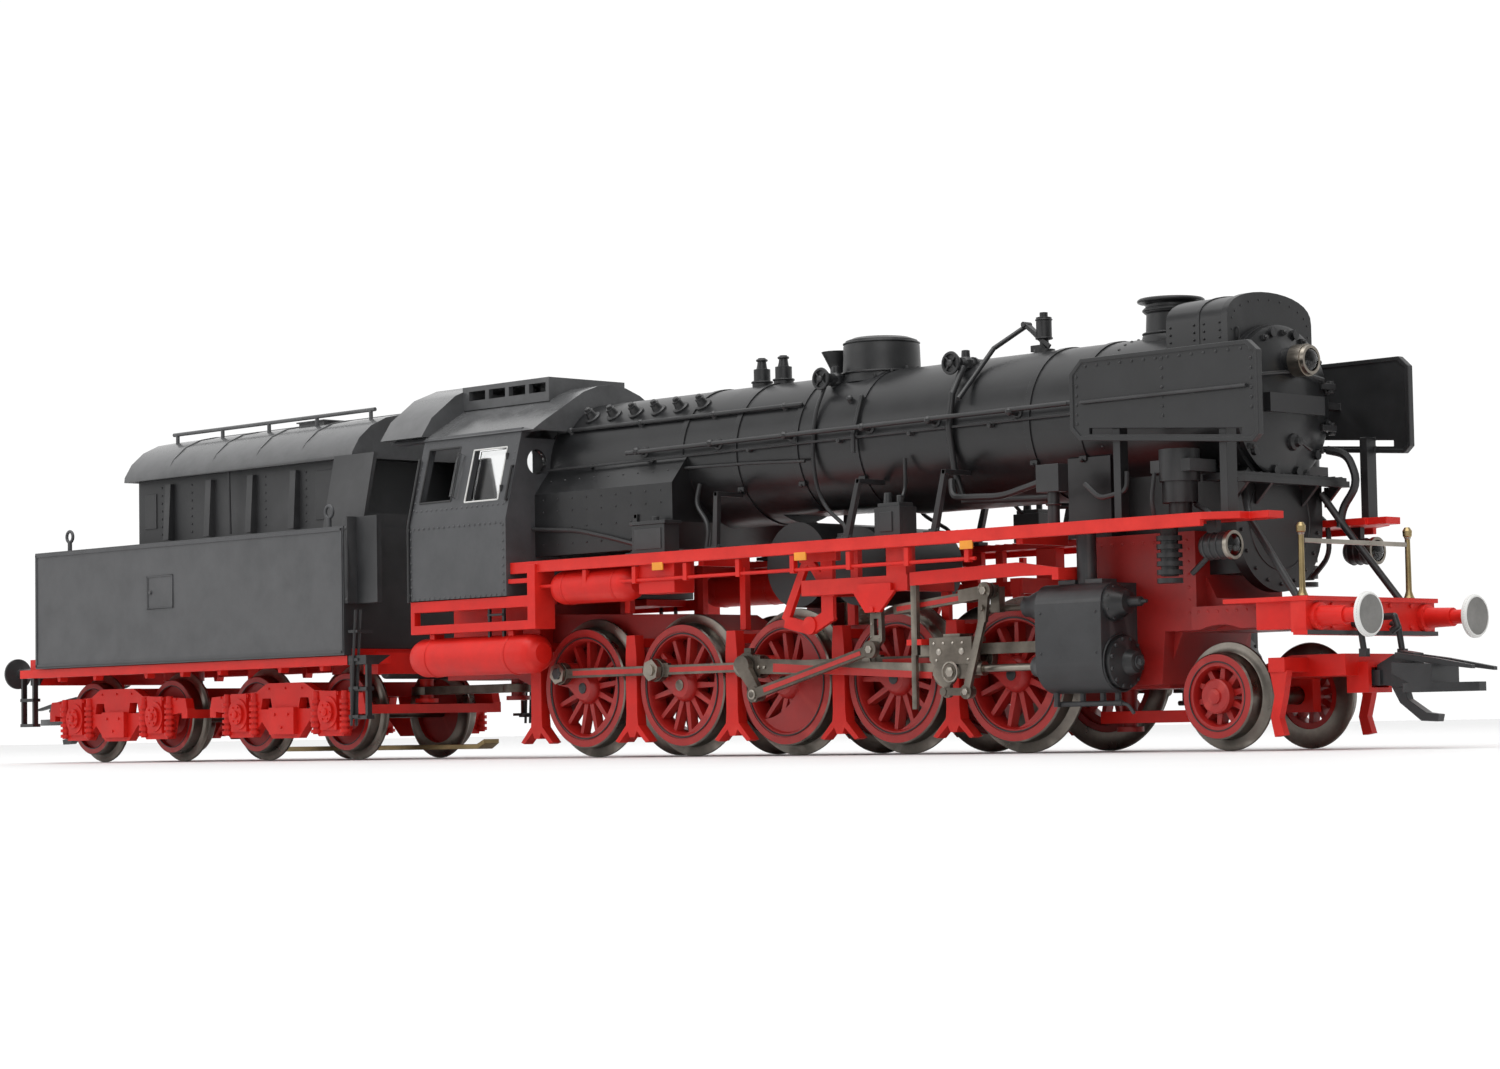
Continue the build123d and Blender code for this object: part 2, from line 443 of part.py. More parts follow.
# handrails, feed pipes and sanding gear: bent wire and pipe along the boiler
rails = []
for s in (-1, 1):
    rails.append(pipe([(-96.0, s * 10.6, 38.8), (-20.0, s * 10.6, 39.2), (-18.0, s * 10.2, 39.2)], 0.3))
    rails.append(pipe([(-112.6, s * 7.9, 43.0), (-66.0, s * 8.0, 43.0), (-55.4, s * 8.0, 43.1), (-55.2, s * 9.9, 38.2), (-55.2, s * 9.9, 36.0)], 0.28))
    for xk in (-94.0, -80.0, -66.5, -53.0, -42.0, -29.0):
        rails.append(pipe([(xk, s * 8.4, 38.9), (xk, s * 10.9, 38.9)], 0.38))
    rails.append(pipe([(-39.4, s * 6.9, 45.4), (-39.4, s * 9.0, 42.0), (-39.4, s * 9.75, 38.0), (-39.4, s * 8.9, 33.0), (-38.4, s * 8.4, 29.0), (-24.0, s * 8.4, 28.6)], 0.4))
rails = [r - boiler_fill for r in rails]

# ---------------- cab ----------------
def cab_section(y_low, z_low, y_mid, z_mid, y_top, z_top):
    return [(-y_low, z_low), (y_low, z_low), (y_mid, z_mid), (y_top, z_top), (-y_top, z_top), (-y_mid, z_mid)]


roof_half = [(14.4, 42.9), (12.6, 44.1), (9.4, 46.0), (5.2, 48.5), (2.6, 49.4), (0.0, 49.8)]
roof = [(a, b) for a, b in roof_half] + [(-a, b) for a, b in reversed(roof_half[:-1])]
rear_half = [(14.7, 43.6), (12.8, 46.4), (8.5, 49.7), (4.4, 51.3), (0.0, 51.9)]
rear = [(a, b) for a, b in rear_half] + [(-a, b) for a, b in reversed(rear_half[:-1])]
cab = prism_x(cab_section(CAB_Y, 20.6, CAB_Y, 31.0, 14.0, 43.4), -133.7, -113.0)
cab = cab - prism_x(cab_section(CAB_Y - 1.0, 21.8, CAB_Y - 1.0, 31.0, 13.0, 43.0), -140.0, -114.0)
cab = cab + prism_x(roof, -141.0, -110.4)
cab = cab - prism_x([(a * 0.94, b - 0.9) for a, b in roof], -140.0, -111.2)
rr = prism_x(rear, -143.0, -133.8) - prism_x([(a * 0.95, b - 0.9) for a, b in rear] , -142.2, -134.0)
cab = cab - box(-141.5, -134.5, -11.5, 11.5, 40, 52) + rr
vent = box(-134.0, -115.5, -7.0, 7.0, 47.6, 50.9) - box(-133.2, -116.2, -6.2, 6.2, 46, 50.2)
for k in range(4):
    x0 = -132.6 + k * 4.3
    vent = vent - box(x0, x0 + 3.5, -8, 8, 48.9, 50.2)
cab = cab + vent - box(-133.6, -116.4, -5.4, 5.4, 44, 48.6)
# side windows, two a side; rear one open, front one glazed
for s in (-1, 1):
    ys = sorted([s * 10.5, s * 18.5])
    cab = cab - prism_y([(-132.2, 34.1), (-125.4, 34.1), (-125.4, 41.6), (-132.2, 41.6)], *ys)
    cab = cab - prism_y([(-122.4, 33.7), (-115.4, 33.7), (-115.4, 40.9), (-122.4, 40.9)], *ys)
cab = cab - cx(11.5, 38.8, 1.7, -114.5, -112.0) - cx(-11.5, 38.8, 1.7, -114.5, -112.0)
cab = cab - boiler_solid - prism_x([(-12.0, 25.9), (12.0, 25.9), (12.0, 34.3), (9.0, 38.0), (-9.0, 38.0), (-12.0, 34.3)], -113.0, -85.8)
backhead = prism_x([(-8.6, 21.8), (8.6, 21.8), (8.6, 41.0), (6.0, 44.0), (-6.0, 44.0), (-8.6, 41.0)], -117.5, -114.0)
cab = cab + backhead
save("cab_shell", cab)
save("handrails", *cut(rails, cab))
glz = []
for s in (-1, 1):
    a = math.atan2(3.2, 12.4)
    yc, zc = 14.15, 37.3
    g = Pos(-118.9, s * yc, zc) * Rot(s * math.degrees(a), 0, 0) * Box(6.9, 0.35, 7.1)
    glz.append(g)
    d = Pos(-124.3, s * 15.9, 37.4) * Rot(s * math.degrees(a), 0, 0) * Box(0.5, 1.6, 6.2)     # draught glass between the windows
    glz.append(d)
for s in (-1, 1):
    glz.append(cx(s * 11.5, 38.8, 1.7, -113.95, -113.5))
glz = [g - cab for g in glz]
save("cab_glazing", glz)

# ---------------- running boards ----------------
boards = []
for s in (-1, 1):
    def sp(a, b, s=s):
        return sorted([s * a, s * b])
    y0, y1 = sp(8.6, BOARD_Y)
    b = prism_z([(-113.8, s * 12.3), (-113.8, s * BOARD_Y), (3.6, s * BOARD_Y), (7.0, s * 14.0), (7.0, s * 9.2), (-22.3, s * 9.2), (-22.3, s * 12.3)] if s > 0 else
                [(-113.8, s * 12.3), (-22.3, s * 12.3), (-22.3, s * 9.2), (7.0, s * 9.2), (7.0, s * 14.0), (3.6, s * BOARD_Y), (-113.8, s * BOARD_Y)], 24.2, BOARD_Z)
    b = b + box(-113.8, 3.4, *sp(15.8, BOARD_Y), 23.5, 24.6)
    b = b + box(4.0, 9.6, *sp(9.6, 12.4), 24.2, 25.0)
    # under-frame below the cab
    b = b + box(-133.7, -107.4, *sp(15.9, 17.0), 19.0, 20.5) + box(-133.7, -107.4, *sp(15.9, 17.0), 16.0, 17.2)
    b = b + box(-133.7, -132.9, *sp(15.9, 17.0), 16.0, 20.0) + box(-109.0, -107.4, *sp(13.5, 17.0), 16.0, 24.6)
    b = b + box(-113.8, -108.5, *sp(15.9, 16.9), 22.2, 22.8) + box(-133.7, -113.0, *sp(8.2, 16.0), 19.6, 20.5)
    b = b + box(-134.6, -116.2, *sp(6.2, 8.6), 14.3, 20.5)
    # stays to the frame
    for xk in (-100.0, -78.0, -24.5):
        b = b + box(xk - 0.5, xk + 0.5, *sp(6.25, 14.5), 23.0, 24.3)
    for xk in (-100.0, -78.0):
        b = b + box(xk - 0.5, xk + 0.5, *sp(6.25, 7.2), 14.95 if xk > -84 else 17.9, 24.0)
    # tool box beside the small reservoir
    b = b + box(-88.5, -81.8, *sp(12.0, 15.6), 19.8, 24.3)
    boards.append(b)
boards = cut(boards, boiler_fill, cab, chassis)
save("running_boards", boards)

# ---------------- smoke deflectors ----------------
defl = []
for s in (-1, 1):
    def sp(a, b, s=s):
        return sorted([s * a, s * b])
    pl = prism_y([(-16.3, 35.6), (-15.0, 34.3), (9.4, 32.4), (10.3, 33.2), (10.3, 42.4), (9.0, 43.6), (-14.6, 43.6), (-16.3, 42.0)], *sp(13.9, 14.5))
    pl = pl - prism_y([(-13.6, 34.9), (7.9, 33.3), (7.9, 34.0), (-13.6, 35.6)], *sp(13.0, 15.0))
    rim = prism_y([(-16.3, 35.6), (-15.0, 34.3), (9.4, 32.4), (10.3, 33.2), (10.3, 42.4), (9.0, 43.6), (-14.6, 43.6), (-16.3, 42.0)], *sp(13.75, 14.65))
    rim = rim - prism_y([(-15.8, 35.8), (-14.8, 34.8), (9.2, 32.9), (9.8, 33.4), (9.8, 42.2), (8.8, 43.1), (-14.4, 43.1), (-15.8, 41.8)], *sp(13.0, 15.0))
    pl = pl + rim
    for xk in (-11.0, 0.2):
        pl = pl + box(xk - 0.5, xk + 0.5, *sp(8.2, 14.0), 38.0, 38.8)
    pl = pl + box(-10.6, -9.6, *sp(12.6, 14.0), 24.95, 36.0) + box(4.4, 5.4, *sp(12.2, 14.0), 24.95, 34.5)
    pl = pl - cx(s * 10.6, 39.2, 0.36, -23, -9)
    defl.append(pl)
defl = cut(defl, boiler_fill, door, *boards)
save("smoke_deflectors", defl)

# ---------------- cylinders ----------------
cyls = []
for s in (-1, 1):
    def sp(a, b, s=s):
        return sorted([s * a, s * b])
    c = box(-22.4, -12.6, *sp(8.0, 14.5), 9.2, 15.9) + cx(s * 11.0, 9.1, 3.5, -22.4, -12.6) + cx(s * 12.1, 15.8, 2.35, -22.4, -12.6)
    c = c + box(-22.4, -12.6, *sp(8.0, 12.1), 15.0, 18.1)
    c = c - box(-23, -20.3, *sp(7.0, 10.55), 0, 20)
    c = c + lathe_x([(-12.6, 0), (-12.6, 3.0), (-11.9, 3.0), (-11.7, 2.5), (-11.3, 1.5), (-10.2, 1.2), (-10.0, 0.8), (-10.0, 0)], s * 11.0, 9.0)
    c = c + lathe_x([(-12.6, 0), (-12.6, 2.15), (-12.2, 2.15), (-11.9, 1.9), (-10.4, 1.3), (-10.2, 0.6), (-8.6, 0.55), (-8.4, 0.25), (-7.8, 0.2), (-7.8, 0)], s * 12.1, 15.8)
    c = c + lathe_x([(-22.4, 0), (-22.4, 2.1), (-23.2, 1.9), (-25.0, 1.25), (-25.6, 1.2), (-25.6, 0)], s * 12.1, 15.8)
    c = c + lathe_x([(-22.4, 0), (-22.4, 1.35), (-23.4, 1.2), (-23.6, 1.0), (-23.6, 0)], s * 13.1, MAIN_Z)
    c = c - cx(s * 13.1, MAIN_Z, 0.55, -30, -13.6) - cx(s * 12.1, 15.8, 0.5, -30, -14.0)
    c = c + box(-20.5, -18.0, *sp(9.8, 12.4), 18.0, 18.6) + box(-16.5, -14.0, *sp(9.8, 12.4), 18.0, 18.6)
    c = c + cz(-17.2, s * 11.2, 1.15, 18.0, 24.15)                                              # steam pipe
    for xk in (-21.6, -18.4, -15.4, -13.2):
        c = c + cz(xk, s * (11.8 if xk < -20.3 else 11.0), 0.35, 4.2, 6.4)                      # drain cocks
    c = c + pipe([(-22.2, s * 11.4, 4.4), (-12.2, s * 11.4, 4.4)], 0.3) + box(-21.9, -21.3, *sp(11.2, 12.1), 4.1, 4.7)
    cyls.append(c)
cyls = cut(cyls, chassis, *boards)
save("cylinder_blocks", cyls)

# ---------------- motion brackets ----------------
mb = []
for s in (-1, 1):
    def sp(a, b, s=s):
        return sorted([s * a, s * b])
    # guide bar above the crosshead, from the cylinder to the leg
    m = box(-42.6, -23.0, *sp(11.75, 12.35), 10.5, 11.8)
    m = m + box(-23.2, -22.4, *sp(11.75, 12.35), 10.5, 11.8)
    # leg down from the long bar and its hanging strip
    m = m + box(-41.8, -40.9, *sp(13.9, 14.5), 10.6, 20.2) + box(-42.6, -40.2, *sp(11.75, 12.35), 10.5, 12.5) + box(-42.6, -40.2, *sp(11.75, 14.5), 11.8, 12.5)
    m = m + box(-41.9, -41.2, *sp(13.95, 14.45), 4.2, 10.8)
    # long bar, over the radius rod, to the cylinder's bracket
    m = m + prism_y([(-41.8, 18.9), (-41.8, 20.5), (-25.0, 20.9), (-18.6, 20.0), (-18.6, 19.2), (-25.0, 19.3)], *sp(13.9, 14.6))
    m = m + box(-19.6, -18.6, *sp(11.0, 14.6), 18.65, 20.0)
    # cross beam under the board with its hanger for the expansion link
    m = m + box(-60.0, -42.2, *sp(12.9, 14.6), 18.4, 20.3) + box(-60.0, -58.0, *sp(6.25, 13.0), 18.4, 20.3) + box(-44.2, -42.2, *sp(6.25, 13.0), 18.4, 20.3)
    m = m + prism_y([(-50.8, 18.5), (-43.8, 18.5), (-46.4, 15.95), (-48.8, 15.95)], *sp(14.6, 15.1)) + box(-50.0, -44.5, *sp(14.0, 15.1), 18.4, 19.4)
    m = m + cy(-47.6, 16.3, 0.35, *sp(13.7, 15.3))
    # weighbar shaft arms
    m = m + bar_y((-59.8, 23.6), (-64.0, 15.6), 1.0, *sp(13.0, 13.6), 1.2) + bar_y((-64.0, 15.4), (-59.6, 14.4), 1.5, *sp(13.0, 13.6))
    m = m + bar_y((-59.6, 14.5), (-55.8, 16.2), 1.7, *sp(13.0, 13.6)) + bar_y((-56.6, 15.2), (-56.6, 23.6), 2.0, *sp(13.0, 13.6))
    m = m + cy(-59.6, 14.8, 1.1, *sp(12.9, 13.8)) + bar_y((-59.8, 23.0), (-55.8, 18.0), 1.1, *sp(13.0, 13.6))
    m = m + box(-61.2, -54.8, *sp(12.9, 13.7), 22.6, 24.2) + box(-52.4, -51.2, *sp(12.9, 13.7), 20.0, 24.2) + box(-45.6, -42.4, *sp(12.9, 14.6), 20.2, 24.2)
    # posts from the frame to the beam
    m = m + box(-59.6, -58.4, *sp(6.2, 6.9), 14.9, 20.3) + box(-43.8, -42.6, *sp(6.2, 6.9), 14.9, 20.3)
    mb.append(m)
mb = cut(mb, chassis, motor, *boards, *cyls)
save("motion_brackets", mb)

# ---------------- reservoirs ----------------
tanks = []
for s in (-1, 1):
    t1 = lathe_x([(-134.8, 0), (-134.6, 1.5), (-133.8, 2.3), (-132.8, 2.65), (-110.0, 2.65), (-109.0, 2.3), (-108.2, 1.4), (-108.0, 0)], s * 14.9, 12.8)
    t1 = t1 + cx(s * 14.9, 12.8, 2.75, -130.6, -130.1) + cx(s * 14.9, 12.8, 2.75, -113.9, -113.4)
    for xk in (-130.35, -113.65):
        t1 = t1 + box(xk - 0.5, xk + 0.5, *sorted([s * 14.2, s * 16.0]), 14.8, 16.0)
    t2 = lathe_x([(-106.4, 0), (-106.2, 1.2), (-105.4, 2.0), (-104.6, 2.25), (-92.0, 2.25), (-91.2, 2.0), (-90.4, 1.2), (-90.2, 0)], s * 14.0, 21.35)
    t2 = t2 + cx(s * 14.0, 21.35, 2.32, -103.4, -103.0) + cx(s * 14.0, 21.35, 2.32, -93.6, -93.2) + box(-98.8, -97.8, *sorted([s * 13.5, s * 14.5]), 23.4, 24.2)
    tanks += [t1, t2]
tanks = cut(tanks, *boards)
save("air_reservoirs", tanks)

# ---------------- brake gear ----------------
bg = []
mids = [(a + b) / 2 for a, b in zip(X_DRV[:-1], X_DRV[1:])] + [X_DRV[-1] - 9.7]
for s in (-1, 1):
    def sp(a, b, s=s):
        return sorted([s * a, s * b])
    for k, xm in enumerate(mids):
        h = prism_y([(xm - 0.8, 14.8), (xm + 0.8, 14.8), (xm + 1.05, 12.0), (xm + 1.05, 4.4), (xm + 1.2, 3.0), (xm + 3.3, 0.9), (xm + 2.6, 0.7),
                     (xm + 0.9, 2.2), (xm + 0.5, 1.4), (xm - 0.5, 1.4), (xm - 0.9, 2.2), (xm - 2.6, 0.7), (xm - 3.3, 0.9), (xm - 1.2, 3.0), (xm - 1.05, 4.4), (xm - 1.05, 12.0)], *sp(8.55, 10.1))
        h = h + box(xm - 0.6, xm + 0.6, *sp(6.2, 8.7), 13.2, 14.4)
        bg.append(h)
bg = cut(bg, chassis, *boards)
save("brake_gear", bg)

# ---------------- front end ----------------
beam = box(12.0, 14.0, -12.1, 12.1, 11.6, 15.0) + box(3.0, 14.4, -12.3, 12.3, 15.0, 15.5) + box(12.4, 14.3, -12.3, 12.3, 11.3, 11.8)
beam = beam - box(3.0, 12.0, -9.0, 9.0, 14.0, 15.3)
beam = beam + box(7.0, 12.2, -11.6, -9.05, 12.0, 15.0) + box(7.0, 12.2, 9.05, 11.6, 12.0, 15.0)
for s in (-1, 1):
    beam = beam + lathe_z([(15.4, 0), (15.4, 0.75), (15.9, 0.5), (16.4, 0.35), (22.4, 0.3), (22.6, 0.5), (23.2, 0.55), (23.6, 0.3), (23.65, 0)], 12.1, s * 10.0)
    beam = beam + pipe([(2.4, s * 7.2, 28.0), (4.2, s * 8.6, 24.5), (11.2, s * 9.6, 15.4)], 0.42)         # strut to the platform
    beam = beam + pipe([(14.0, s * 3.6, 12.6), (15.0, s * 3.6, 12.2), (15.4, s * 3.6, 9.6)], 0.35) + box(15.0, 15.9, *sorted([s * 3.2, s * 4.0]), 8.9, 9.8)
beam = beam + box(14.0, 15.2, -0.5, 0.5, 12.6, 14.0) + pipe([(15.0, 0, 13.3), (17.0, 0, 13.3), (17.4, 0, 12.2), (16.6, 0, 11.7)], 0.38)
beam = beam - chassis - boiler_fill
save("buffer_beam", beam)
bufs = []
for s in (-1, 1):
    b = lathe_x([(14.0, 0), (14.0, 1.55), (14.6, 1.5), (14.7, 1.15), (17.9, 1.05), (17.9, 0.8), (19.9, 0.8), (20.2, 1.6), (20.5, 2.45), (20.8, 2.45), (21.0, 2.25), (21.0, 0)], s * 10.05, 13.3)
    bufs.append(b - beam)
save("front_buffers", bufs)

lamps, lenses = [], []
for s in (-1, 1):
    y = s * 13.4
    l = lathe_x([(1.6, 0), (1.6, 1.2), (2.0, 1.45), (5.0, 1.45), (5.2, 1.6), (5.7, 1.6), (5.7, 1.25), (5.0, 1.2), (5.0, 0)], y, 21.4)
    l = l + box(2.2, 3.6, y - 0.4, y + 0.4, 22.5, 24.2)
    lamps.append(l)
    lenses.append(lathe_x([(5.0, 0), (5.0, 1.2), (5.6, 1.2), (5.9, 0.8), (6.0, 0)], y, 21.4))
    # lubricator below the board, behind the lamp
    lu = cz(-4.0, s * 12.6, 1.0, 18.4, 24.2)
    for k in range(6):
        lu = lu + cz(-4.0, s * 12.6, 1.45, 17.6 + k * 0.95, 18.15 + k * 0.95)
    lamps.append(lu)
l = lathe_x([(4.3, 0), (4.3, 1.7), (4.8, 1.85), (6.4, 1.85), (6.4, 1.45), (5.6, 1.4), (5.6, 0)], 0, 42.5) + lathe_x([(6.1, 1.1), (6.1, 1.75), (6.9, 1.65), (6.9, 1.3), (6.1, 1.3)], 0, 42.5)
lamps.append(l)
lenses.append(lathe_x([(5.6, 0), (5.6, 1.28), (6.8, 1.28), (7.1, 0.9), (7.25, 0)], 0, 42.5))
lamps = cut(lamps, door, boiler_fill, *boards)
lenses = cut(lenses, *lamps)
save("lamp_housings", lamps)
save("lamp_lenses", lenses)

# ---------------- pony truck ----------------
pony = box(-3.0, 3.0, -6.4, 6.4, 6.8, 8.2) + box(-2.2, 2.2, -6.4, -4.9, 3.0, 7.5) + box(-2.2, 2.2, 4.9, 6.4, 3.0, 7.5)
pony = pony + prism_y([(-23.0, 2.1), (-23.0, 3.5), (-9.0, 3.5), (-4.5, 8.2), (-2.0, 8.2), (-2.0, 6.8), (-4.0, 6.2), (-8.0, 2.1)], -2.4, 2.4)
pony = pony + prism_y([(2.0, 6.8), (2.0, 8.2), (6.4, 9.3), (13.6, 9.3), (13.6, 6.9), (6.2, 6.9)], -4.6, 4.6)
pony = pony + box(6.4, 8.6, -8.9, 8.9, 7.4, 9.0)
for s in (-1, 1):
    pony = pony + prism_y([(6.4, 7.6), (8.8, 7.6), (8.2, 4.6), (7.6, 2.4), (8.2, 0.5), (6.9, 0.3), (6.4, 2.4), (7.0, 4.8)], *sorted([s * 7.7, s * 8.7]))
pony = pony + box(12.0, 14.9, -2.2, 2.2, 5.0, 8.4)
pony = pony - box(11.9, 16.0, -1.6, 1.6, 5.55, 7.75)
pony = pony - cy(0, R_PONY, 1.0 + FIT, -8, 8) - cz(-20.5, 0, 0.9 + FIT, -2, 6)
pony = pony + cz(13.6, 0, 0.55, 5.0, 8.2)
save("pony_truck_frame", pony)


def coupler(x0, d):
    """Close coupler: shank in its pocket, head, hook and drop loop; d is +1 forward, -1 back."""
    def X(v):
        return x0 + d * v

    def sy(pts, a, b):
        return prism_y([(X(x), z) for x, z in pts], a, b)
    c = box(*sorted([X(-0.9), X(2.2)]), -1.3, 1.3, 5.75, 7.45) + cz(X(0.0), 0, 1.3, 5.75, 7.45)
    c = c + sy([(1.6, 5.9), (1.6, 8.0), (4.6, 9.5), (6.4, 9.2), (6.4, 6.2), (5.6, 5.7), (4.4, 5.5)], -1.0, 1.0)
    c = c + sy([(4.6, 7.0), (4.6, 8.2), (9.8, 7.9), (9.8, 5.6), (7.0, 5.8)], -2.6, 2.6)
    c = c + prism_z([(X(a), b) for a, b in [(6.0, -2.6), (9.8, -2.6), (14.8, -1.2), (14.8, 0.2), (9.8, 0.4), (6.0, 0.4)]], 4.9, 5.9)
    c = c + sy([(4.6, 9.3), (4.6, 8.7), (9.5, 7.9), (15.4, 7.1), (15.4, 7.5), (9.5, 8.6)], 0.8, 1.5) + sy([(4.6, 9.3), (4.6, 8.7), (9.5, 7.9), (14.4, 7.3), (14.4, 7.7), (9.5, 8.6)], -1.9, -1.2)
    c = c + sy([(3.0, 5.9), (3.0, 6.9), (4.4, 6.9), (5.2, 4.2), (7.6, 2.7), (9.2, 2.5), (9.0, 1.7), (6.9, 1.8), (4.2, 3.8)], -0.6, 0.6)
    c = c - cz(X(0.0), 0, 0.55 + FIT, 0, 10)
    return c


save("front_coupler", coupler(X_FRONT, 1))

# ---------------- drawbar ----------------
db = box(-151.5, -131.0, -1.6, 1.6, 8.0, 9.2) + cz(-131.0, 0, 2.2, 8.0, 9.2) + cz(-151.5, 0, 2.2, 8.0, 9.2)
db = db - cz(-131.0, 0, 1.0 + FIT, 0, 20) - cz(-151.5, 0, 1.0 + FIT, 0, 20)
save("drawbar", db)

# ---------------- tender ----------------
tf = box(-231.0, -148.9, -15.6, 15.6, 13.5, 14.6) + box(-231.0, -148.9, -16.4, -14.6, 12.3, 13.6) + box(-231.0, -148.9, 14.6, 16.4, 12.3, 13.6)
tf = tf + box(-233.8, -231.0, -14.6, 14.6, 11.2, 15.3) + box(-150.2, -146.9, -12.5, 12.5, 11.0, 14.0)
tf = tf + cz(-151.5, 0, 1.0, 7.4, 14.0) + cz(-151.5, 0, 1.7, 6.9, 7.5)
for xb in (-168.725, -212.4):
    tf = tf + cz(xb, 0, 1.5, 7.5, 13.6) + cz(xb, 0, 2.6, 7.0, 7.9) + cz(xb, 0, 3.2, 11.4, 13.6)
for s in (-1, 1):
    tf = tf + lathe_x([(-233.8, 0), (-233.8, 1.6), (-234.4, 1.55), (-234.5, 1.2), (-238.6, 1.1), (-238.6, 0.8), (-243.9, 0.8), (-244.2, 1.6), (-244.5, 2.45), (-244.9, 2.45), (-245.1, 2.25), (-245.1, 0)], s * 10.05, 13.3)
    # steps at the rear and front corners
    for x0, x1 in ((-234.0, -230.3), (-148.6, -144.6)):
        ys = sorted([s * 15.0, s * 16.4])
        tf = tf + box(x0, x0 + 0.5, *sorted([s * 15.4, s * 16.2]), 4.9, 13.4) + box(x1 - 0.5, x1, *sorted([s * 15.4, s * 16.2]), 4.9, 13.4)
        tf = tf + box(x0, x1, *ys, 4.6, 5.1) + box(x0, x1, *ys, 8.6, 9.1) + box(x0, x1, *sorted([s * 14.0, s * 16.4]), 12.3, 13.6)
        tf = tf + box(min(x0, -231.2) if x0 < -200 else -149.5, x1 if x0 < -200 else x1, *sorted([s * 12.0, s * 15.5]), 12.4, 13.6)
tf = tf + box(X_REAR - 1.3, -233.0, -2.2, 2.2, 5.0, 8.4) + box(-236.0, -232.0, -2.0, 2.0, 8.0, 13.0)
tf = tf - box(-241.0, X_REAR + 2.2, -1.6, 1.6, 5.55, 7.75) + cz(X_REAR, 0, 0.55, 5.2, 8.1)
# black equipment under the front of the tender, guide for the pickup slider
tf = tf + box(-192.2, -189.4, -2.3, -1.35, 7.0, 13.6) + box(-192.2, -189.4, 1.35, 2.3, 7.0, 13.6)
save("tender_frame", tf)
save("rear_coupler", coupler(X_REAR, -1))

tb = box(-228.5, -148.8, -17.0, 17.0, 13.7, 32.0) - box(-227.3, -150.0, -15.8, 15.8, 12.0, 30.8)
tb = tb - box(-229, -148, -15.65, 15.65, 12.0, 14.65) - box(-231.0, -148, 14.5, 16.45, 12.0, 13.65) - box(-231.0, -148, -16.45, -14.5, 12.0, 13.65)
cabin = prism_x([(-9.0, 30.9), (9.0, 30.9), (9.0, 42.6), (-9.0, 42.6)], -211.3, -158.5)
cabin = cabin - prism_x([(-8.0, 30.0), (8.0, 30.0), (8.0, 43.0), (-8.0, 43.0)], -210.3, -159.5)
half = [(11.0, 42.4), (10.9, 43.2), (9.6, 45.3), (7.4, 47.2), (4.6, 48.5), (1.6, 49.1), (0.0, 49.2)]
rf = [(a, b) for a, b in half] + [(-a, b) for a, b in reversed(half[:-1])]
troof = prism_x(rf, -212.4, -154.4) - prism_x([(a * 0.92, b - 0.8) for a, b in rf], -211.4, -159.6)
for k in range(5):
    xk = -202.4 + k * 10.7
    for s in (-1, 1):
        cabin = cabin + prism_x([(s * 9.0, 33.0), (s * 10.2, 33.0), (s * 9.7, 41.6), (s * 9.0, 41.6)] if s > 0 else [(s * 9.0, 33.0), (s * 9.0, 41.6), (s * 9.7, 41.6), (s * 10.2, 33.0)], xk - 0.7, xk + 0.7)
bunker = prism_x([(-13.5, 30.9), (13.5, 30.9), (11.0, 42.8), (-11.0, 42.8)], -158.5, -149.2) - prism_x([(-12.4, 34.0), (12.4, 34.0), (10.0, 44.0), (-10.0, 44.0)], -157.4, -148.0)
panels = []
tb = tb + cabin + troof + bunker
for s in (-1, 1):
    tb = tb + box(-149.0, -143.4, *sorted([s * 14.4, s * 15.2]), 21.0, 33.3) + box(-149.0, -148.0, *sorted([s * 12.0, s * 16.9]), 21.0, 33.3)
    for xk in (-221.0, -154.1):
        tb = tb + cz(xk, s * 15.4, 0.35, 31.8, 33.4) + (Pos(xk, s * 15.4, 34.3) * Rot(90, 0, 0) * Torus(0.85, 0.25))
    tb = tb + pipe([(-208.0, s * 4.6, 49.9), (-157.0, s * 4.6, 49.9)], 0.3)
    for xk in (-207.0, -195.0, -183.0, -171.0, -158.0):
        tb = tb + cz(xk, s * 4.6, 0.3, 48.0, 49.9)
tb = tb + box(-150.2, -149.0, -14.5, 14.5, 14.0, 31.0)
tb = tb - tf
save("tender_body", tb)

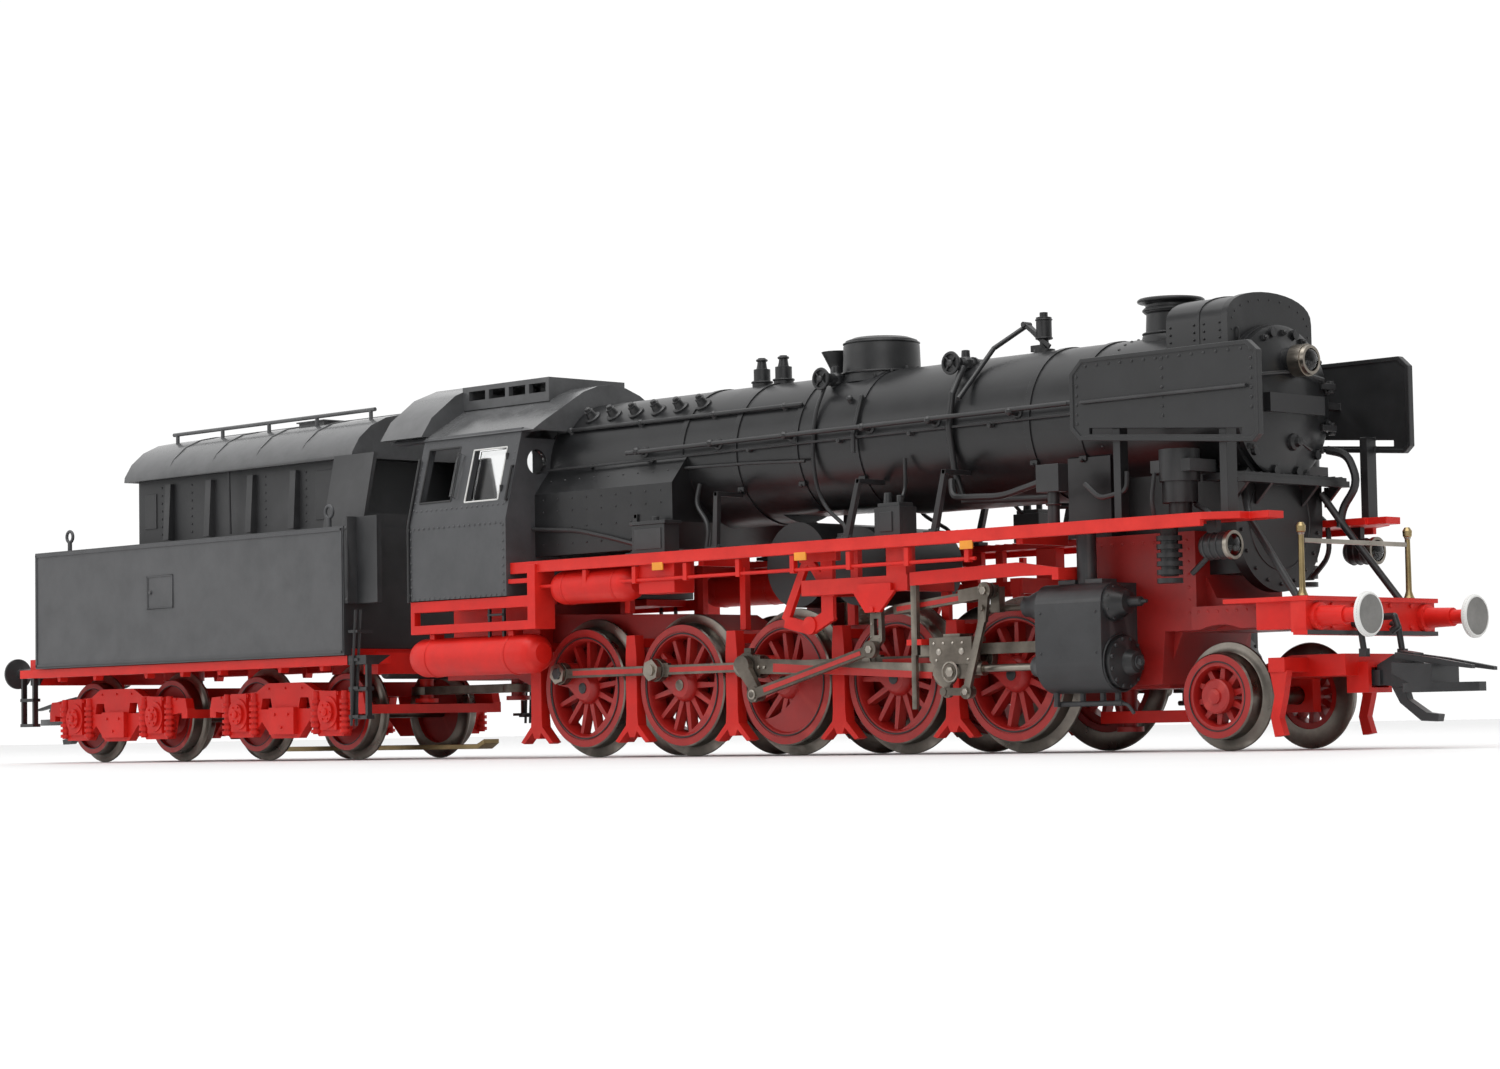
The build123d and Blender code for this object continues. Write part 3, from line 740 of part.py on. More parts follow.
for name, xc in (("tender_bogie_front", -168.725), ("tender_bogie_rear", -212.4)):
    a1, a2 = xc - 10.925, xc + 10.925
    bf = None
    for s in (-1, 1):
        def sp(a, b, s=s):
            return sorted([s * a, s * b])
        f = prism_y([(xc - 18.9, 6.4), (xc - 18.4, 8.4), (xc - 7.0, 9.0), (xc - 4.5, 10.2), (xc + 4.5, 10.2), (xc + 7.0, 9.0), (xc + 18.4, 8.4), (xc + 18.9, 6.4),
                     (xc + 15.0, 6.0), (xc + 13.8, 2.3), (xc + 8.0, 2.3), (xc + 5.8, 4.6), (xc + 3.2, 2.1), (xc - 3.2, 2.1), (xc - 5.8, 4.6), (xc - 8.0, 2.3), (xc - 13.8, 2.3), (xc - 15.0, 6.0)], *sp(11.2, 12.6))
        for xo in (-4.6, 4.6):
            f = f - prism_y([(xc + xo - 1.4, 6.4), (xc + xo + 1.4, 6.4), (xc + xo + 1.0, 8.0), (xc + xo - 1.0, 8.0)], *sp(11.0, 13.0))
        for ax in (a1, a2):
            f = f + cy(ax, R_TND, 2.3, *sp(11.2, 13.3)) + box(ax - 1.9, ax + 1.9, *sp(11.4, 13.1), 3.2, 8.8) + cy(ax, R_TND, 1.5, *sp(13.2, 13.7))
            for dx in (-3.4, 3.4):
                for k in range(6):
                    f = f + cz(ax + dx, s * 12.6, 0.85, 2.8 + k * 0.85, 3.3 + k * 0.85)
                f = f + cz(ax + dx, s * 12.6, 0.55, 2.6, 8.8)
        f = f + box(xc - 3.0, xc + 3.0, *sp(12.4, 13.4), 2.7, 6.6)
        for ax in (a1, a2):
            f = f - cy(ax, R_TND, 0.95 + FIT, *sp(10.0, 12.4))
        bf = f if bf is None else bf + f
    bf = bf + box(xc - 3.6, xc + 3.6, -11.4, 11.4, 8.1, 10.2) + box(xc - 18.9, xc - 18.2, -11.4, 11.4, 5.4, 6.7) + box(xc + 18.2, xc + 18.9, -11.4, 11.4, 5.4, 6.7)
    for s in (-1, 1):
        ys = sorted([s * 11.2, s * 12.6])
        bf = bf + box(xc - 18.9, xc - 17.4, *ys, 5.4, 6.9) + box(xc + 17.4, xc + 18.9, *ys, 5.4, 6.9)
    bf = bf - cz(xc, 0, 1.5 + FIT, 0, 20)
    save(name, bf)

# sprung pickup slider between the bogies' inner axles
ps = prism_y([(-193.8, 0.9), (-192.3, 0.1), (-138.5, 0.1), (-137.0, 0.9), (-137.0, 1.5), (-138.7, 0.8), (-192.1, 0.8), (-193.8, 1.5)], -1.4, 1.4)
ps = ps + box(-192.4, -189.2, -1.2, 1.2, 0.6, 12.2)
save("pickup_shoe", ps)
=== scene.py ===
import bpy
import bmesh
import math
import random
from mathutils import Vector, Matrix


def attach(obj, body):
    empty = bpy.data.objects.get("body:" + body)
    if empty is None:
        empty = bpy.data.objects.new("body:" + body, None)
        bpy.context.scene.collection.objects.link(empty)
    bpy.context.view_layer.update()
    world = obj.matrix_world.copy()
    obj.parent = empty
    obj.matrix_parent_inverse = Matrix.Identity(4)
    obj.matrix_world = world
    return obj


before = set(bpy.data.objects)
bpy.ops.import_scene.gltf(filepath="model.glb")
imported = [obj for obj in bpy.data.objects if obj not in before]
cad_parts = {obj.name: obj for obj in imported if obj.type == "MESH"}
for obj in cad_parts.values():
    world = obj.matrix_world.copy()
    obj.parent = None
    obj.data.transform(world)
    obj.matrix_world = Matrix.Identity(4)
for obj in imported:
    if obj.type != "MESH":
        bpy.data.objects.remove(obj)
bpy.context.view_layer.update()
scene = bpy.context.scene
random.seed(7)

# Local millimetres (x = 0 on the leading axle, z = 0 at the rail head) to the frame.
X_OFF, Z_OFF = 111.8, 1.2


def W(x, y, z):
    return Vector(((x + X_OFF) / 1000.0, y / 1000.0, (z + Z_OFF) / 1000.0))


# ------------------------------------------------------------------ camera
def camera():
    yaw, pitch, roll = math.radians(135.63), math.radians(3.5), math.radians(-1.01)
    f = Vector((math.cos(pitch) * math.cos(yaw), math.cos(pitch) * math.sin(yaw), math.sin(pitch)))
    r = f.cross(Vector((0, 0, 1))).normalized()
    u = r.cross(f)
    r2 = r * math.cos(roll) + u * math.sin(roll)
    u2 = -r * math.sin(roll) + u * math.cos(roll)
    cam = bpy.data.cameras.new("camera")
    cam.sensor_width = 36.0
    cam.lens = 3365.75 * 36.0 / 1500.0
    cam.shift_y = -0.0064
    cam.clip_start = 0.01
    cam.clip_end = 100.0
    ob = bpy.data.objects.new("camera", cam)
    m = Matrix.Identity(4)
    for i in range(3):
        m[i][0], m[i][1], m[i][2] = r2[i], u2[i], -f[i]
    loc = W(231.5, -308.4, 2.0)
    m[0][3], m[1][3], m[2][3] = loc
    ob.matrix_world = m
    scene.collection.objects.link(ob)
    scene.camera = ob


camera()

# ------------------------------------------------------------------ light and floor
scene.view_settings.view_transform = "Standard"
world = bpy.data.worlds.new("studio")
scene.world = world
world.use_nodes = True
wt = world.node_tree
wt.nodes["Background"].inputs[0].default_value = (1.0, 1.0, 1.0, 1.0)
wc = wt.nodes.new("ShaderNodeTexCoord")
wd = wt.nodes.new("ShaderNodeVectorMath")
wd.operation = "DOT_PRODUCT"
wd.inputs[1].default_value = (-0.7149, 0.6993, 0.12)
wr = wt.nodes.new("ShaderNodeMapRange")
wr.inputs["From Min"].default_value, wr.inputs["From Max"].default_value = -0.15, 0.55
wr.inputs["To Min"].default_value, wr.inputs["To Max"].default_value = 0.34, 1.04
wt.links.new(wc.outputs["Generated"], wd.inputs[0])
wt.links.new(wd.outputs["Value"], wr.inputs["Value"])
wt.links.new(wr.outputs[0], wt.nodes["Background"].inputs[1])

sun = bpy.data.lights.new("soft_sun", "SUN")
sun.energy, sun.angle = 1.7, math.radians(60)
sun_ob = bpy.data.objects.new("soft_sun", sun)
sun_ob.matrix_world = Vector((-0.10, 0.30, -0.95)).to_track_quat("-Z", "Y").to_matrix().to_4x4()
scene.collection.objects.link(sun_ob)


def area(name, loc, target, size, size_y, power, color=(1, 1, 1)):
    l = bpy.data.lights.new(name, "AREA")
    l.shape = "RECTANGLE"
    l.size, l.size_y, l.energy, l.color = size, size_y, power, color
    ob = bpy.data.objects.new(name, l)
    d = Vector(target) - Vector(loc)
    ob.matrix_world = Matrix.Translation(Vector(loc)) @ d.to_track_quat("-Z", "Y").to_matrix().to_4x4()
    scene.collection.objects.link(ob)


area("softbox_top", (0.05, -0.10, 0.75), (0, 0, 0.02), 0.9, 0.45, 1.6)
area("softbox_front", (0.75, -0.75, 0.45), (0.0, 0, 0.03), 0.6, 0.5, 2.0)
area("softbox_side", (-0.45, -0.80, 0.35), (-0.05, 0, 0.02), 0.7, 0.4, 1.2)


def node(nt, kind, x=0, y=0, **inputs):
    n = nt.nodes.new(kind)
    n.location = (x, y)
    for k, v in inputs.items():
        n.inputs[k.replace("_", " ")].default_value = v
    return n


def floor():
    me = bpy.data.meshes.new("floor")
    bm = bmesh.new()
    s = 8.0
    rows = [(-s, 0.0), (-1.0, 0.0), (1.0, 0.0), (s, 0.0)]
    prev = None
    dirx, diry = -0.7149, 0.6993
    for d, z in rows:
        c = Vector((dirx * d, diry * d, z - 0.00002))
        a = bm.verts.new(c + Vector((-diry, dirx, 0)) * s)
        b = bm.verts.new(c - Vector((-diry, dirx, 0)) * s)
        if prev:
            bm.faces.new((prev[0], prev[1], b, a))
        prev = (a, b)
    bm.normal_update()
    bm.to_mesh(me)
    bm.free()
    for p in me.polygons:
        p.use_smooth = True
    ob = bpy.data.objects.new("floor", me)
    scene.collection.objects.link(ob)
    m = bpy.data.materials.new("pale_floor")
    m.use_nodes = True
    nt = m.node_tree
    b = nt.nodes["Principled BSDF"]
    tc = node(nt, "ShaderNodeTexCoord", -900, 0)
    n1 = node(nt, "ShaderNodeTexNoise", -700, 0, Scale=40.0, Detail=4.0)
    nt.links.new(tc.outputs["Object"], n1.inputs["Vector"])
    r = node(nt, "ShaderNodeMapRange", -500, 0)
    r.inputs["To Min"].default_value, r.inputs["To Max"].default_value = 0.70, 0.74
    nt.links.new(n1.outputs["Fac"], r.inputs["Value"])
    c = node(nt, "ShaderNodeCombineColor", -300, 0)
    for i in range(3):
        nt.links.new(r.outputs[0], c.inputs[i])
    nt.links.new(c.outputs[0], b.inputs["Base Color"])
    b.inputs["Roughness"].default_value = 0.55
    me.materials.append(m)


floor()


# ------------------------------------------------------------------ materials
def material(name, base, rough, metal=0.0, var=0.18, scale=260.0, fine=2600.0, bump=0.25, depth=0.00002,
             edge=0.0, edge_colour=None, streak=None, dust=0.0, dust_colour=(0.30, 0.29, 0.27), spec=0.5, coat=0.0):
    """Painted, moulded or metal surface: cloudy tone, fine grain, uneven gloss, lighter edges that are partly rubbed
    wear and partly painted edge highlight, and dust on upward faces.
    """
    m = bpy.data.materials.new(name)
    m.use_nodes = True
    nt = m.node_tree
    b = nt.nodes["Principled BSDF"]
    b.inputs["Metallic"].default_value = metal
    b.inputs["Specular IOR Level"].default_value = spec
    if coat:
        b.inputs["Coat Weight"].default_value = coat
        b.inputs["Coat Roughness"].default_value = 0.12
    tc = node(nt, "ShaderNodeTexCoord", -1500, 0)
    vec = tc.outputs["Object"]
    if streak:
        mp = node(nt, "ShaderNodeMapping", -1320, 0)
        mp.inputs["Scale"].default_value = streak
        nt.links.new(vec, mp.inputs["Vector"])
        svec = mp.outputs["Vector"]
    else:
        svec = vec
    cloud = node(nt, "ShaderNodeTexNoise", -1100, 250, Scale=scale, Detail=5.0, Roughness=0.6)
    nt.links.new(vec, cloud.inputs["Vector"])
    grain = node(nt, "ShaderNodeTexNoise", -1100, -50, Scale=fine, Detail=3.0, Roughness=0.55)
    nt.links.new(svec, grain.inputs["Vector"])
    lo = tuple(c * (1 - var) for c in base) + (1,)
    hi = tuple(min(1.0, c * (1 + var)) for c in base) + (1,)
    ramp = node(nt, "ShaderNodeValToRGB", -850, 250)
    ramp.color_ramp.elements[0].position, ramp.color_ramp.elements[0].color = 0.32, lo
    ramp.color_ramp.elements[1].position, ramp.color_ramp.elements[1].color = 0.70, hi
    nt.links.new(cloud.outputs["Fac"], ramp.inputs["Fac"])
    col = ramp.outputs["Color"]
    gm = node(nt, "ShaderNodeMapRange", -850, 0)
    gm.inputs["To Min"].default_value, gm.inputs["To Max"].default_value = 1 - var * 0.5, 1 + var * 0.5
    nt.links.new(grain.outputs["Fac"], gm.inputs["Value"])
    mul = node(nt, "ShaderNodeVectorMath", -600, 200)
    mul.operation = "SCALE"
    nt.links.new(col, mul.inputs[0])
    nt.links.new(gm.outputs[0], mul.inputs["Scale"])
    col = mul.outputs[0]
    # Lighter colour where Pointiness is high: partly rubbed wear, partly a painted highlight along the edges.
    if edge > 0:
        geo = node(nt, "ShaderNodeNewGeometry", -1100, 520)
        pr = node(nt, "ShaderNodeMapRange", -850, 520)
        pr.inputs["From Min"].default_value, pr.inputs["From Max"].default_value = 0.53, 0.64
        pr.inputs["To Max"].default_value = edge
        nt.links.new(geo.outputs["Pointiness"], pr.inputs["Value"])
        wob = node(nt, "ShaderNodeMath", -700, 480)
        wob.operation = "MULTIPLY"
        nt.links.new(pr.outputs[0], wob.inputs[0])
        nt.links.new(cloud.outputs["Fac"], wob.inputs[1])
        mx = node(nt, "ShaderNodeMix", -420, 250)
        mx.data_type = "RGBA"
        nt.links.new(wob.outputs[0], mx.inputs[0])
        nt.links.new(col, mx.inputs[6])
        mx.inputs[7].default_value = tuple(edge_colour or tuple(min(1, c * 3 + 0.03) for c in base)) + (1,)
        col = mx.outputs[2]
    if dust > 0:
        geo2 = node(nt, "ShaderNodeNewGeometry", -1100, 760)
        sp = node(nt, "ShaderNodeSeparateXYZ", -950, 760)
        nt.links.new(geo2.outputs["Normal"], sp.inputs[0])
        up = node(nt, "ShaderNodeMapRange", -800, 760)
        up.inputs["From Min"].default_value, up.inputs["From Max"].default_value = 0.35, 1.0
        up.inputs["To Max"].default_value = dust
        nt.links.new(sp.outputs["Z"], up.inputs["Value"])
        dm = node(nt, "ShaderNodeMath", -650, 760)
        dm.operation = "MULTIPLY"
        nt.links.new(up.outputs[0], dm.inputs[0])
        nt.links.new(cloud.outputs["Fac"], dm.inputs[1])
        mx2 = node(nt, "ShaderNodeMix", -250, 250)
        mx2.data_type = "RGBA"
        nt.links.new(dm.outputs[0], mx2.inputs[0])
        nt.links.new(col, mx2.inputs[6])
        mx2.inputs[7].default_value = tuple(dust_colour) + (1,)
        col = mx2.outputs[2]
    nt.links.new(col, b.inputs["Base Color"])
    rr = node(nt, "ShaderNodeMapRange", -600, -150)
    rr.inputs["To Min"].default_value, rr.inputs["To Max"].default_value = max(0.02, rough - 0.10), min(1.0, rough + 0.10)
    nt.links.new(cloud.outputs["Fac"], rr.inputs["Value"])
    nt.links.new(rr.outputs[0], b.inputs["Roughness"])
    bp = node(nt, "ShaderNodeBump", -300, -300)
    bp.inputs["Strength"].default_value = bump
    bp.inputs["Distance"].default_value = depth
    nt.links.new(grain.outputs["Fac"], bp.inputs["Height"])
    nt.links.new(bp.outputs[0], b.inputs["Normal"])
    return m


def clear(name, tint, rough=0.03):
    m = bpy.data.materials.new(name)
    m.use_nodes = True
    nt = m.node_tree
    b = nt.nodes["Principled BSDF"]
    b.inputs["Transmission Weight"].default_value = 1.0
    b.inputs["IOR"].default_value = 1.49
    tc = node(nt, "ShaderNodeTexCoord", -900, 0)
    n1 = node(nt, "ShaderNodeTexNoise", -700, 0, Scale=420.0, Detail=3.0)
    nt.links.new(tc.outputs["Object"], n1.inputs["Vector"])
    r = node(nt, "ShaderNodeMapRange", -450, -100)
    r.inputs["To Min"].default_value, r.inputs["To Max"].default_value = rough * 0.5, rough * 2.0
    nt.links.new(n1.outputs["Fac"], r.inputs["Value"])
    nt.links.new(r.outputs[0], b.inputs["Roughness"])
    ramp = node(nt, "ShaderNodeValToRGB", -450, 150)
    ramp.color_ramp.elements[0].color = tuple(c * 0.94 for c in tint) + (1,)
    ramp.color_ramp.elements[1].color = tuple(tint) + (1,)
    nt.links.new(n1.outputs["Fac"], ramp.inputs["Fac"])
    nt.links.new(ramp.outputs[0], b.inputs["Base Color"])
    return m


M = {}
# The lighter edge colours given below are partly rubbed wear, partly painted edge highlight.
M["black"] = material("satin_black_paint", (0.010, 0.0104, 0.0112), 0.34, var=0.25, edge=0.5, edge_colour=(0.06, 0.06, 0.062), dust=0.10, dust_colour=(0.10, 0.10, 0.10))
M["blackm"] = material("black_moulded_plastic", (0.013, 0.0134, 0.0142), 0.42, var=0.25, edge=0.6, edge_colour=(0.07, 0.07, 0.072), dust=0.12, dust_colour=(0.12, 0.12, 0.12))
M["grey"] = material("dark_grey_moulded_plastic", (0.056, 0.0575, 0.061), 0.50, var=0.16, edge=0.6, edge_colour=(0.11, 0.11, 0.112), dust=0.10, dust_colour=(0.16, 0.16, 0.16))
# Lighter copy of the grey moulding for roof faces; the lighter base colour is painted top light.
M["roof"] = material("roof_grey_painted_top_light", (0.085, 0.0865, 0.089), 0.22, var=0.16, edge=0.5, edge_colour=(0.12, 0.12, 0.12), dust=0.25, dust_colour=(0.20, 0.20, 0.20))
M["cyl"] = material("cylinder_grey_black", (0.024, 0.025, 0.027), 0.46, var=0.22, edge=0.7, edge_colour=(0.10, 0.10, 0.10))
M["red"] = material("bright_red_plastic", (0.60, 0.012, 0.007), 0.44, var=0.10, edge=0.4, edge_colour=(0.78, 0.07, 0.05), dust=0.04, dust_colour=(0.6, 0.2, 0.16), spec=0.32)
M["dred"] = material("dark_red_casting", (0.30, 0.009, 0.007), 0.48, var=0.16, edge=0.4, edge_colour=(0.55, 0.06, 0.05))
M["wred"] = material("wheel_red_paint", (0.34, 0.010, 0.008), 0.42, var=0.12, edge=0.5, edge_colour=(0.62, 0.07, 0.05))
M["steel"] = material("nickel_steel", (0.30, 0.27, 0.23), 0.30, metal=1.0, var=0.18, fine=3000.0, streak=(0.25, 1.0, 2.0), bump=0.35, depth=0.000012, edge=0.6, edge_colour=(0.70, 0.66, 0.60))
M["tyre"] = material("dark_tyre_steel", (0.19, 0.172, 0.15), 0.30, metal=1.0, var=0.25, fine=2600.0, bump=0.3, depth=0.000012, edge=0.6, edge_colour=(0.6, 0.57, 0.5))
M["rod"] = material("blackened_nickel_rod", (0.125, 0.108, 0.090), 0.40, metal=0.9, var=0.30, scale=420, fine=2600.0, streak=(0.3, 1, 1.6), bump=0.4, depth=0.000015, edge=0.8, edge_colour=(0.42, 0.38, 0.32))
M["white"] = material("white_buffer_paint", (0.72, 0.72, 0.70), 0.42, var=0.05, edge=0.3, edge_colour=(0.45, 0.44, 0.42))
M["bface"] = material("buffer_face_grey", (0.20, 0.196, 0.186), 0.45, var=0.2, metal=0.3)
M["brass"] = material("weathered_brass", (0.34, 0.26, 0.13), 0.35, metal=1.0, var=0.22, edge=0.6, edge_colour=(0.55, 0.46, 0.28))
M["coup"] = material("coupler_black_plastic", (0.016, 0.0165, 0.018), 0.36, var=0.25, edge=0.7, edge_colour=(0.09, 0.09, 0.09))
# Darker copy of the tender grey for the cabin walls and the front face: painted shade.
M["cabin"] = material("cabin_grey_painted_shade", (0.022, 0.0225, 0.024), 0.48, var=0.16, edge=0.6, edge_colour=(0.09, 0.09, 0.092))
M["rodred"] = material("rod_flute_red", (0.42, 0.016, 0.012), 0.45, var=0.14, scale=420)
M["gear"] = material("ivory_acetal", (0.72, 0.68, 0.56), 0.35, var=0.08)
M["amber"] = material("amber_tab", (0.80, 0.30, 0.02), 0.45, var=0.10)
M["plate"] = material("plain_plate_black", (0.010, 0.010, 0.011), 0.30, var=0.2)
M["pale"] = material("pale_line", (0.62, 0.62, 0.60), 0.45, var=0.06)
M["chrome"] = material("reflector_silver", (0.78, 0.78, 0.78), 0.14, metal=1.0, var=0.06, bump=0.1)
# Darker copy of the cab grey for faces inside the cab: painted shade.
M["interior"] = material("cab_interior_painted_shade", (0.012, 0.012, 0.013), 0.6, var=0.2)
M["glass"] = clear("clear_plastic", (0.96, 0.97, 0.97))
M["lens"] = clear("lamp_lens", (0.98, 0.98, 0.97), 0.02)


# ------------------------------------------------------------------ tidy CAD nodes
def tidy_group():
    g = bpy.data.node_groups.new("tidy_edges", "GeometryNodeTree")
    g.interface.new_socket("Geometry", in_out="INPUT", socket_type="NodeSocketGeometry")
    g.interface.new_socket("Geometry", in_out="OUTPUT", socket_type="NodeSocketGeometry")
    i = g.nodes.new("NodeGroupInput")
    o = g.nodes.new("NodeGroupOutput")
    mb = g.nodes.new("GeometryNodeMergeByDistance")
    mb.inputs["Distance"].default_value = 0.000002
    ra = g.nodes.new("GeometryNodeRemoveAttribute")
    ra.inputs["Name"].default_value = "custom_normal"
    s1 = g.nodes.new("GeometryNodeSetShadeSmooth")
    s1.domain = "FACE"
    s2 = g.nodes.new("GeometryNodeSetShadeSmooth")
    s2.domain = "EDGE"
    s2.inputs["Shade Smooth"].default_value = False
    ea = g.nodes.new("GeometryNodeInputMeshEdgeAngle")
    cp = g.nodes.new("FunctionNodeCompare")
    cp.data_type = "FLOAT"
    cp.operation = "GREATER_THAN"
    cp.inputs[1].default_value = math.radians(31)
    g.links.new(i.outputs[0], mb.inputs["Geometry"])
    g.links.new(mb.outputs[0], ra.inputs["Geometry"])
    g.links.new(ra.outputs[0], s1.inputs["Geometry"])
    g.links.new(s1.outputs[0], s2.inputs["Geometry"])
    g.links.new(ea.outputs["Unsigned Angle"], cp.inputs[0])
    g.links.new(cp.outputs[0], s2.inputs["Selection"])
    g.links.new(s2.outputs[0], o.inputs[0])
    return g


TIDY = tidy_group()


def dress(name, mats, rules=(), bevel=0.00009, angle=40.0, segments=2):
    """Gives a CAD node its materials. rules are (material index, test of a face's centre in local mm)."""
    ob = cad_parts[name]
    me = ob.data
    me.materials.clear()
    for k in mats:
        me.materials.append(M[k])
    for p in me.polygons:
        idx = 0
        if rules:
            c = p.center
            x, y, z = c[0] * 1000 - X_OFF, c[1] * 1000, c[2] * 1000 - Z_OFF
            for k, test in rules:
                if test(x, y, z):
                    idx = k
                    break
        p.material_index = idx
    t = ob.modifiers.new("tidy", "NODES")
    t.node_group = TIDY
    if bevel:
        bv = ob.modifiers.new("bevel", "BEVEL")
        bv.width = bevel
        bv.segments = segments
        bv.limit_method = "ANGLE"
        bv.angle_limit = math.radians(angle)
        bv.harden_normals = True
        bv.use_clamp_overlap = True
        bv.miter_outer = "MITER_SHARP"
    return ob


X_DRV = [-29.9, -48.85, -67.8, -86.8, -105.75]
R_DRV, CRANK, FACE, BACK = 8.05, 3.79, 9.9, 7.1
A_R, A_L = math.radians(148), math.radians(58)
X_TND = [-157.8, -179.65, -201.5, -223.3]

dress("chassis_frame", ["dred"])
dress("boiler_shell", ["black"], bevel=0.00012)
dress("smokebox_door", ["black", "plate", "steel"], [(1, lambda x, y, z: 36.7 < z < 38.72 and x > 4.8 and abs(y) < 5.05)])
dress("boiler_mountings", ["blackm"])
dress("handrails", ["blackm"], bevel=0)
# Roof faces get the lighter copy (painted top light); faces inside the cab get the darker copy (painted shade).
dress("cab_shell", ["grey", "roof", "interior"], [(1, lambda x, y, z: z > 43.3), (2, lambda x, y, z: abs(y) < 16.25 and z < 30.9 and x > -133.6 and x < -113.2),
                                                    (2, lambda x, y, z: z >= 30.9 and abs(y) < 16.25 - (z - 31.0) * 0.24 - 0.05 and x > -133.5 and x < -113.2)])
dress("cab_glazing", ["glass"], bevel=0)
dress("running_boards", ["red"])
dress("smoke_deflectors", ["blackm"])
dress("cylinder_blocks", ["cyl", "blackm"], [(1, lambda x, y, z: x > -12.4)])
dress("motion_brackets", ["red", "rod"], [(1, lambda x, y, z: z < 11.95), (1, lambda x, y, z: -42.0 < x < -40.7 and z < 20.1 and 13.5 < abs(y) < 14.55)])
dress("air_reservoirs", ["red"])
dress("brake_gear", ["red"])
dress("buffer_beam", ["red", "brass", "blackm"], [(1, lambda x, y, z: z > 15.6 and 11.0 < x < 13.2 and abs(abs(y) - 10.0) < 1.0),
                                                  (2, lambda x, y, z: z > 15.55), (2, lambda x, y, z: x > 14.2 and z < 14.9 and abs(y) < 6)])
dress("front_buffers", ["red", "white", "bface"], [(2, lambda x, y, z: x > 20.9), (1, lambda x, y, z: x > 19.95)])
dress("lamp_housings", ["blackm", "steel"], [(1, lambda x, y, z: x > 5.05 and z < 23.5 and x < 6), (1, lambda x, y, z: z > 40 and x > 4.75)])
dress("lamp_lenses", ["lens"], bevel=0)
dress("motor_case", ["blackm"])
dress("motor_rotor", ["steel"])
dress("idler_gear", ["gear"], bevel=0.00003)
dress("pony_truck_frame", ["red"])
dress("front_coupler", ["coup"])
dress("rear_coupler", ["coup"])
dress("drawbar", ["rod"])
dress("tender_frame", ["red", "blackm"], [(1, lambda x, y, z: abs(y) > 13.9 and z < 13.7 and (x < -230.0 or x > -149.6)), (1, lambda x, y, z: x < -238.55)])
# Tender roof gets the lighter copy (painted top light); the cabin walls and the front face get the darker copy (painted
# shade).
dress("tender_body", ["grey", "roof", "cabin"], [(1, lambda x, y, z: z > 42.7), (2, lambda x, y, z: z > 32.02 and abs(y) < 13.6), (2, lambda x, y, z: x > -148.95)])
dress("tender_bogie_front", ["red"])
dress("tender_bogie_rear", ["red"])
dress("pickup_shoe", ["brass"])
for n, xd in enumerate(X_DRV, 1):
    def pin(x, y, z, xd=xd):
        return abs(y) > 10.4 and (x - xd) ** 2 + (z - R_DRV) ** 2 > 1.0 and min(
            math.hypot(x - xd - CRANK * math.cos(a), z - R_DRV - CRANK * math.sin(a)) for a in (A_R, A_L)) < 1.6
    dress(f"driver_{n}_centres", ["wred", "steel"], [(1, pin)], bevel=0.00006)
    dress(f"driver_{n}_tyres_axle", ["tyre", "rod", "wred"], [(1, lambda x, y, z: abs(y) > 12), (2, lambda x, y, z, xd=xd: abs(y) > 9.86 and 5.0 < math.hypot(x - xd, z - R_DRV) < 7.85)], bevel=0.00005)
dress("pony_wheelset", ["wred", "tyre"], [(1, lambda x, y, z: math.hypot(x, z - 4.9) > 3.88 and abs(y) < 9.86), (1, lambda x, y, z: math.hypot(x, z - 4.9) > 4.75), (1, lambda x, y, z: abs(y) < 7.05)], bevel=0.00005)
for n, xt in enumerate(X_TND, 1):
    dress(f"tender_wheelset_{n}", ["wred", "tyre"], [(1, lambda x, y, z, xt=xt: math.hypot(x - xt, z - 5.75) > 4.75 and (abs(y) < 9.86 or math.hypot(x - xt, z - 5.75) > 5.6)), (1, lambda x, y, z: abs(y) < 7.05 or abs(y) > 10.0)], bevel=0.00005)
for t in "rl":
    dress(f"coupling_rod_{t}", ["rod"], bevel=0.00006)
    dress(f"connecting_rod_{t}", ["rod"], bevel=0.00006)
    dress(f"eccentric_rod_{t}", ["rod"], bevel=0.00006)
    dress(f"radius_rod_{t}", ["rod"], bevel=0.00006)
    dress(f"crosshead_{t}", ["rod", "steel"], [(1, lambda x, y, z: 12.5 < abs(y) < 13.7 and z < 9.8)], bevel=0.00006)
    dress(f"guide_plug_{t}", ["wred"], bevel=0.00005)
    dress(f"expansion_link_{t}", ["rod"], bevel=0.00006)
    dress(f"combination_lever_{t}", ["rod"], bevel=0.00006)


